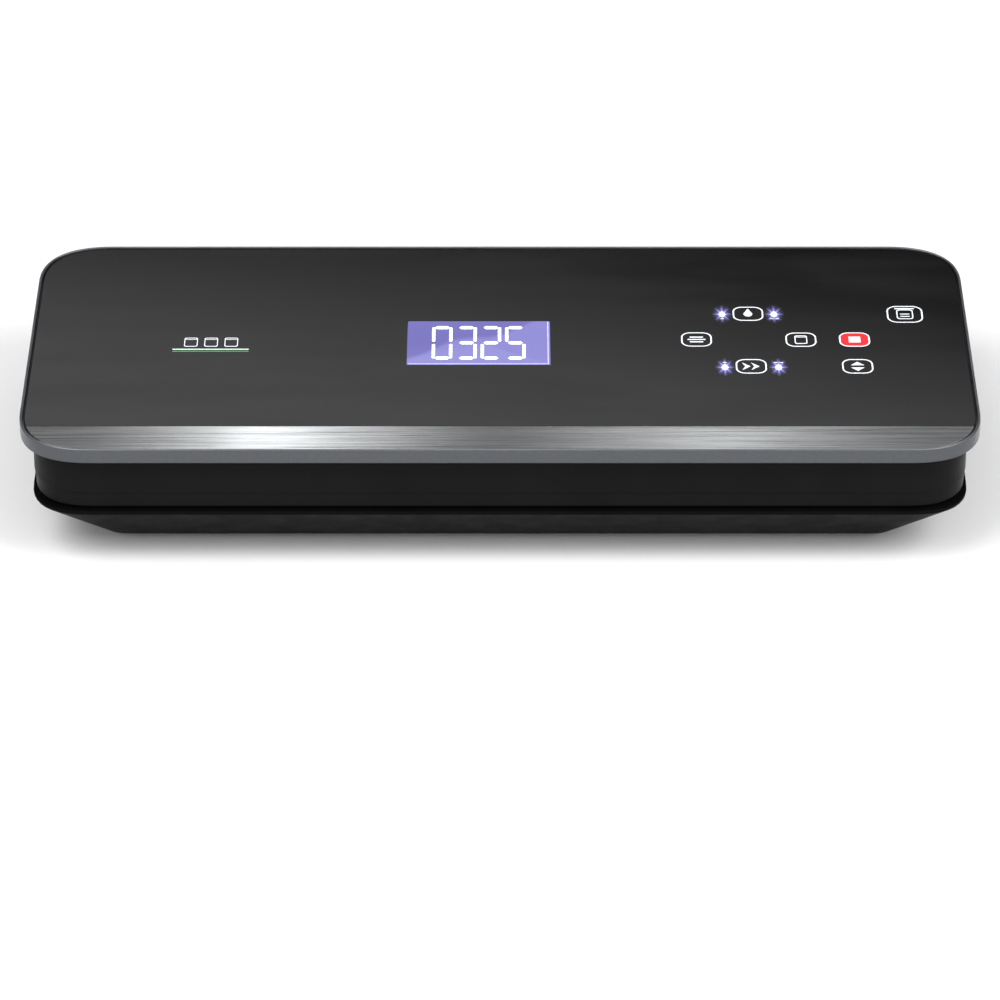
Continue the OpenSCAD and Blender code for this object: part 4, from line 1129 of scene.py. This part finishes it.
def screw_tree():
    """Node tree: a cross-recess pan head with its shank, set on every point."""
    tree = bpy.data.node_groups.new("screws", "GeometryNodeTree")
    face = tree.interface
    face.new_socket("Geometry", in_out="INPUT", socket_type="NodeSocketGeometry")
    for name in ("Head Radius", "Head Height", "Shank Radius", "Shank Length", "Recess"):
        face.new_socket(name, in_out="INPUT", socket_type="NodeSocketFloat")
    face.new_socket("Metal", in_out="INPUT", socket_type="NodeSocketMaterial")
    face.new_socket("Geometry", in_out="OUTPUT", socket_type="NodeSocketGeometry")
    make = tree.nodes.new
    link = tree.links.new
    source = make("NodeGroupInput")

    def scaled(output, factor):
        times = make("ShaderNodeMath")
        times.operation = "MULTIPLY"
        times.inputs[1].default_value = factor
        link(output, times.inputs[0])
        return times.outputs[0]

    def lifted(output, *parts):
        place = make("ShaderNodeCombineXYZ")
        total = parts[0]
        for extra in parts[1:]:
            add = make("ShaderNodeMath")
            link(total, add.inputs[0])
            link(extra, add.inputs[1])
            total = add.outputs[0]
        link(total, place.inputs["Z"])
        move = make("GeometryNodeTransform")
        link(output, move.inputs["Geometry"])
        link(place.outputs[0], move.inputs["Translation"])
        return move.outputs["Geometry"]

    height = source.outputs["Head Height"]
    radius = source.outputs["Head Radius"]
    crown = make("GeometryNodeMeshCone")
    crown.inputs["Vertices"].default_value = 32
    link(scaled(radius, 0.72), crown.inputs["Radius Top"])
    link(radius, crown.inputs["Radius Bottom"])
    link(scaled(height, 0.45), crown.inputs["Depth"])
    disc = make("GeometryNodeMeshCylinder")
    disc.inputs["Vertices"].default_value = 32
    link(radius, disc.inputs["Radius"])
    link(scaled(height, 0.56), disc.inputs["Depth"])
    shank = make("GeometryNodeMeshCylinder")
    shank.inputs["Vertices"].default_value = 20
    link(source.outputs["Shank Radius"], shank.inputs["Radius"])
    link(source.outputs["Shank Length"], shank.inputs["Depth"])
    head = make("GeometryNodeMeshBoolean")
    head.operation = "UNION"
    for part in (lifted(crown.outputs["Mesh"], scaled(height, 0.55)),
                 lifted(disc.outputs["Mesh"], scaled(height, 0.28)),
                 lifted(shank.outputs["Mesh"], scaled(source.outputs["Shank Length"], -0.49))):
        link(part, head.inputs["Mesh 2"])
    recess = make("GeometryNodeMeshBoolean")
    recess.operation = "DIFFERENCE"
    link(head.outputs["Mesh"], recess.inputs["Mesh 1"])
    for across, along in ((1.0, 0.24), (0.24, 1.0)):
        size = make("ShaderNodeCombineXYZ")
        link(scaled(source.outputs["Recess"], across), size.inputs["X"])
        link(scaled(source.outputs["Recess"], along), size.inputs["Y"])
        link(height, size.inputs["Z"])
        arm = make("GeometryNodeMeshCube")
        link(size.outputs[0], arm.inputs["Size"])
        link(lifted(arm.outputs["Mesh"], height), recess.inputs["Mesh 2"])
    turn = make("GeometryNodeTransform")
    turn.inputs["Rotation"].default_value = (math.pi, 0, math.radians(20))
    link(recess.outputs["Mesh"], turn.inputs["Geometry"])
    spread = make("GeometryNodeInstanceOnPoints")
    link(source.outputs["Geometry"], spread.inputs["Points"])
    link(turn.outputs["Geometry"], spread.inputs["Instance"])
    finish_tree(tree, source, spread.outputs["Instances"])
    return tree


def spring_tree():
    """Node tree: a conical contact spring on every point."""
    tree = bpy.data.node_groups.new("contact_springs", "GeometryNodeTree")
    face = tree.interface
    face.new_socket("Geometry", in_out="INPUT", socket_type="NodeSocketGeometry")
    for name in ("Foot Radius", "Tip Radius", "Height", "Wire"):
        face.new_socket(name, in_out="INPUT", socket_type="NodeSocketFloat")
    face.new_socket("Metal", in_out="INPUT", socket_type="NodeSocketMaterial")
    face.new_socket("Geometry", in_out="OUTPUT", socket_type="NodeSocketGeometry")
    make = tree.nodes.new
    link = tree.links.new
    source = make("NodeGroupInput")
    coil = make("GeometryNodeCurveSpiral")
    coil.inputs["Resolution"].default_value = 20
    coil.inputs["Rotations"].default_value = 2.5
    link(source.outputs["Foot Radius"], coil.inputs["Start Radius"])
    link(source.outputs["Tip Radius"], coil.inputs["End Radius"])
    link(source.outputs["Height"], coil.inputs["Height"])
    wire = make("GeometryNodeCurvePrimitiveCircle")
    wire.inputs["Resolution"].default_value = 8
    link(source.outputs["Wire"], wire.inputs["Radius"])
    body = make("GeometryNodeCurveToMesh")
    body.inputs["Fill Caps"].default_value = True
    link(coil.outputs["Curve"], body.inputs["Curve"])
    link(wire.outputs["Curve"], body.inputs["Profile Curve"])
    spread = make("GeometryNodeInstanceOnPoints")
    link(source.outputs["Geometry"], spread.inputs["Points"])
    link(body.outputs["Mesh"], spread.inputs["Instance"])
    finish_tree(tree, source, spread.outputs["Instances"])
    return tree


class SEALER_OT_fasteners(bpy.types.Operator):
    """Screws of the housing and the lid liner, and the touch keys' contact springs"""
    bl_idname = "sealer.fasteners"
    bl_label = "Screws and springs"

    def execute(self, context):
        metal = finish_of("plated_steel")
        tree = screw_tree()
        for node, head_h, shank_r, body in (("case_screws", 2.4 * MM, 1.3 * MM, "base"),
                                            ("liner_screws", 1.1 * MM, 0.95 * MM, "lid")):
            found = islands(node)
            c, lo, hi = found[0]
            seats = [Vector((c.x, c.y, lo.z + head_h)) for c, lo, hi in found]
            screws = grow(node + "_cross_head", seats, tree, Metal=metal,
                          **{"Head Radius": (hi.x - lo.x) / 2, "Head Height": head_h, "Shank Radius": shank_r,
                             "Shank Length": hi.z - lo.z - head_h, "Recess": (hi.x - lo.x) * 0.55})
            dress(screws, metal, body, "plated_steel", node)
        found = islands("touch_springs")
        c, lo, hi = found[0]
        wire = 0.17 * MM
        feet = [Vector((c.x, c.y, lo.z + wire)) for c, lo, hi in found]
        brass = finish_of("contact_spring")
        coils = grow("touch_coils", feet, spring_tree(), Metal=brass,
                     Height=hi.z - lo.z - 2 * wire, Wire=wire,
                     **{"Foot Radius": (hi.x - lo.x) / 2 - wire, "Tip Radius": (hi.x - lo.x) / 2 - 6 * wire})
        dress(coils, brass, "lid", "contact_spring", "touch_springs")
        return {"FINISHED"}


# ---------- finishes by slot ----------

FINISHES = {
    "shell_black": lambda: moulded("shell_plastic", tuple(bpy.context.scene.sealer_colours.shell) + (1,),
                                   0.42, 1500, 0.00004, 0.06),
    # painted shade: the tray is given a darker, less glossy black than the shell, for the shade low under the
    # housing
    "tray_black": lambda: moulded("tray_plastic", lin(9, 9, 10), 0.5, 1300, 0.00005, 0.02),
    "liner_black": lambda: moulded("liner_plastic", lin(24, 24, 26), 0.5, 1600, 0.00004, 0.22),
    "inlet_black": lambda: moulded("inlet_plastic", lin(28, 28, 30), 0.4, 2000, 0.00003, 0.4),
    "component_black": lambda: moulded("component_plastic", lin(30, 31, 34), 0.38, 2400, 0.00002, 0.45),
    "head_plastic": lambda: moulded("pump_head_plastic", lin(46, 47, 50), 0.45, 1600, 0.00004, 0.4),
    "port_grey": lambda: moulded("port_plastic", lin(92, 94, 97), 0.42, 1900, 0.00003, 0.4),
    "drip_grey": lambda: moulded("drip_tray_plastic", lin(104, 107, 110), 0.4, 1700, 0.00003, 0.4),
    "natural_nylon": lambda: moulded("nylon", lin(214, 208, 190), 0.42, 1800, 0.00003, 0.45, 0.06),
    "plunger_red": lambda: moulded("plunger_plastic", lin(190, 44, 36), 0.38, 2200, 0.00002, 0.45),
    "bar_phenolic": lambda: phenolic("phenolic_moulding"),
    "foot_rubber": lambda: rubbery("foot_rubber_skin", lin(32, 32, 33), 0.75),
    "damper_rubber": lambda: rubbery("damper_rubber_skin", lin(36, 36, 38), 0.7),
    "press_silicone": lambda: rubbery("press_silicone_skin", lin(122, 36, 30), 0.55),
    "gasket_foam": lambda: foam("gasket_foam_cells"),
    "ptfe_cloth": lambda: coated_cloth("coated_glass_cloth"),
    "hose_silicone": lambda: clear_tube("silicone_tube"),
    "plated_steel": lambda: plated("zinc_plate", lin(178, 181, 186), 0.34),
    "motor_steel": lambda: plated("motor_can", lin(168, 170, 174), 0.3, 300),
    "nickel_pin": lambda: plated("nickel_plate", lin(206, 202, 190), 0.22, 700),
    "heater_metal": lambda: plated("heater_ribbon", lin(176, 168, 156), 0.36, 900),
    "contact_spring": lambda: plated("spring_wire", lin(205, 178, 110), 0.28, 900),
    "gear_brass": lambda: plated("turned_brass", lin(206, 166, 88), 0.3, 500),
    "core_steel": lambda: laminated("core_sheets"),
    "board_green": lambda: circuit_board("solder_mask"),
}
made_finishes = {}


def finish_of(slot):
    """The one material of a record slot, made the first time it is asked for."""
    if slot not in made_finishes:
        made_finishes[slot] = FINISHES[slot]()
    return made_finishes[slot]


class SEALER_OT_inner_parts(bpy.types.Operator):
    """Finishes of the CAD parts that are shown as they are"""
    bl_idname = "sealer.inner_parts"
    bl_label = "Inner parts"

    def execute(self, context):
        for name, part in frame["nodes"].items():
            if part.hide_render:
                continue
            finish = finish_of(node_slot(name))
            for slot in part.material_slots:
                slot.material = finish
        return {"FINISHED"}


# ---------- stage ----------

# Each light's name, place, size and power, and the only pieces that it falls on, if it is so limited.
LIGHTS = (
    ("key", (-0.9, -1.0, 1.9), (1.2, 1.2), 32, ()),
    ("fill", (1.3, -0.9, 1.5), (1.0, 1.0), 26, ()),
    ("metal", (0.0, 0.75, 1.9), (2.6, 0.6), 50, ("lid_rim", "brushed_strip")),
    ("under", (0.0, 1.0, -1.0), (1.6, 1.6), 18, ()),
)
LIGHTS_AIM = (0, 0, 0.05)
CAMERA_PLACE = (0.0, -2.1786, 1.2922)
CAMERA_TILT = math.radians(59.0)
CAMERA_LENS = 201.6
FLOOR_HALF_WIDTH = 6.0


def soft_light(name, place, size, power, lit):
    """Soft light aimed at the sealer; it falls on every piece, or only on those named in lit."""
    data = bpy.data.lights.new(name, "AREA")
    data.shape = "RECTANGLE"
    data.size, data.size_y = size
    data.energy = power
    lamp = bpy.data.objects.new(name, data)
    lamp.location = place
    lamp.rotation_euler = (Vector(LIGHTS_AIM) - Vector(place)).to_track_quat("-Z", "Y").to_euler()
    bpy.context.scene.collection.objects.link(lamp)
    if lit:
        group = bpy.data.collections.new(name + "_lit")
        for piece in lit:
            group.objects.link(bpy.data.objects[piece])
        lamp.light_linking.receiver_collection = group


def studio_world():
    """White to the camera, and a soft grey dome, brightest just above the horizon, to what it lights."""
    world = bpy.data.worlds.new("studio")
    world.use_nodes = True
    tree = world.node_tree
    tree.nodes.clear()
    make = tree.nodes.new
    link = tree.links.new
    place = make("ShaderNodeTexCoord")
    parts = make("ShaderNodeSeparateXYZ")
    link(place.outputs["Generated"], parts.inputs[0])
    rise = make("ShaderNodeValToRGB")
    stops = ((0.0, 0.9), (0.03, 0.5), (0.3, 0.1), (0.46, 0.01), (0.475, 0.05), (0.485, 0.42), (0.5, 0.9),
             (0.53, 1.0), (0.6, 0.7), (0.75, 0.6), (1.0, 0.5))
    fill_ramp(rise, stops, (1, 1, 1.02), "LINEAR")
    tilt = make("ShaderNodeMath")
    tilt.operation = "MULTIPLY_ADD"
    tilt.inputs[1].default_value = -0.12
    link(parts.outputs["X"], tilt.inputs[0])
    link(parts.outputs["Z"], tilt.inputs[2])
    link(tilt.outputs[0], rise.inputs["Fac"])
    front = make("ShaderNodeMapRange")
    front.inputs["From Min"].default_value = 0.1
    front.inputs["From Max"].default_value = -0.5
    link(parts.outputs["Y"], front.inputs["Value"])
    blend = make("ShaderNodeMix")
    blend.data_type = "RGBA"
    blend.inputs[7].default_value = (1.5, 1.5, 1.52, 1)
    link(front.outputs["Result"], blend.inputs[0])
    link(rise.outputs["Color"], blend.inputs[6])
    dome = make("ShaderNodeBackground")
    dome.inputs["Strength"].default_value = 0.85
    link(blend.outputs[2], dome.inputs["Color"])
    plain = make("ShaderNodeBackground")
    plain.inputs["Color"].default_value = (1, 1, 1, 1)
    plain.inputs["Strength"].default_value = 1.0
    path = make("ShaderNodeLightPath")
    mix = make("ShaderNodeMixShader")
    link(path.outputs["Is Camera Ray"], mix.inputs["Fac"])
    link(dome.outputs[0], mix.inputs[1])
    link(plain.outputs[0], mix.inputs[2])
    out = make("ShaderNodeOutputWorld")
    link(mix.outputs[0], out.inputs["Surface"])
    bpy.context.scene.world = world


class SEALER_OT_stage(bpy.types.Operator):
    """White floor, soft studio light and the camera"""
    bl_idname = "sealer.stage"
    bl_label = "Stage"

    def execute(self, context):
        scene = context.scene
        scene.view_settings.view_transform = "Standard"
        studio_world()
        bm = bmesh.new()
        bmesh.ops.create_grid(bm, x_segments=24, y_segments=24, size=FLOOR_HALF_WIDTH)
        floor = new_piece("floor", bm)
        floor.data.materials.append(paper_floor("studio_paper"))
        for light in LIGHTS:
            soft_light(*light)
        data = bpy.data.cameras.new("camera")
        data.lens = CAMERA_LENS
        data.sensor_width = 36.0
        data.clip_start = 0.05
        data.clip_end = 50
        camera = bpy.data.objects.new("camera", data)
        camera.location = CAMERA_PLACE
        camera.rotation_euler = (CAMERA_TILT, 0, 0)
        scene.collection.objects.link(camera)
        scene.camera = camera
        return {"FINISHED"}


# ---------- panel and registration ----------

OPERATORS = (
    SEALER_OT_lid_rim,
    SEALER_OT_top_panel,
    SEALER_OT_digits,
    SEALER_OT_keys,
    SEALER_OT_lights,
    SEALER_OT_mouldings,
    SEALER_OT_fasteners,
    SEALER_OT_inner_parts,
    SEALER_OT_stage,
)


class SEALER_PT_pieces(bpy.types.Panel):
    """Lists the sealer's pieces and their sizes"""
    bl_idname = "SEALER_PT_pieces"
    bl_label = "Vacuum sealer"
    bl_space_type = "VIEW_3D"
    bl_region_type = "UI"
    bl_category = "Sealer"

    def draw(self, context):
        for operator in OPERATORS:
            self.layout.operator(operator.bl_idname)
        for group in (context.scene.sealer_sizes, context.scene.sealer_colours):
            box = self.layout.box()
            for name in group.__annotations__:
                box.prop(group, name)


CLASSES = (SealerSizes, SealerColours) + OPERATORS + (SEALER_PT_pieces,)


def register():
    for entry in CLASSES:
        bpy.utils.register_class(entry)
    bpy.types.Scene.sealer_sizes = bpy.props.PointerProperty(type=SealerSizes)
    bpy.types.Scene.sealer_colours = bpy.props.PointerProperty(type=SealerColours)


def unregister():
    del bpy.types.Scene.sealer_colours
    del bpy.types.Scene.sealer_sizes
    for entry in reversed(CLASSES):
        bpy.utils.unregister_class(entry)


def main():
    register()
    bpy.ops.sealer.lid_rim()
    bpy.ops.sealer.top_panel()
    bpy.ops.sealer.digits()
    bpy.ops.sealer.keys()
    bpy.ops.sealer.lights()
    bpy.ops.sealer.mouldings()
    bpy.ops.sealer.fasteners()
    bpy.ops.sealer.inner_parts()
    bpy.ops.sealer.stage()


if __name__ == "__main__":
    main()
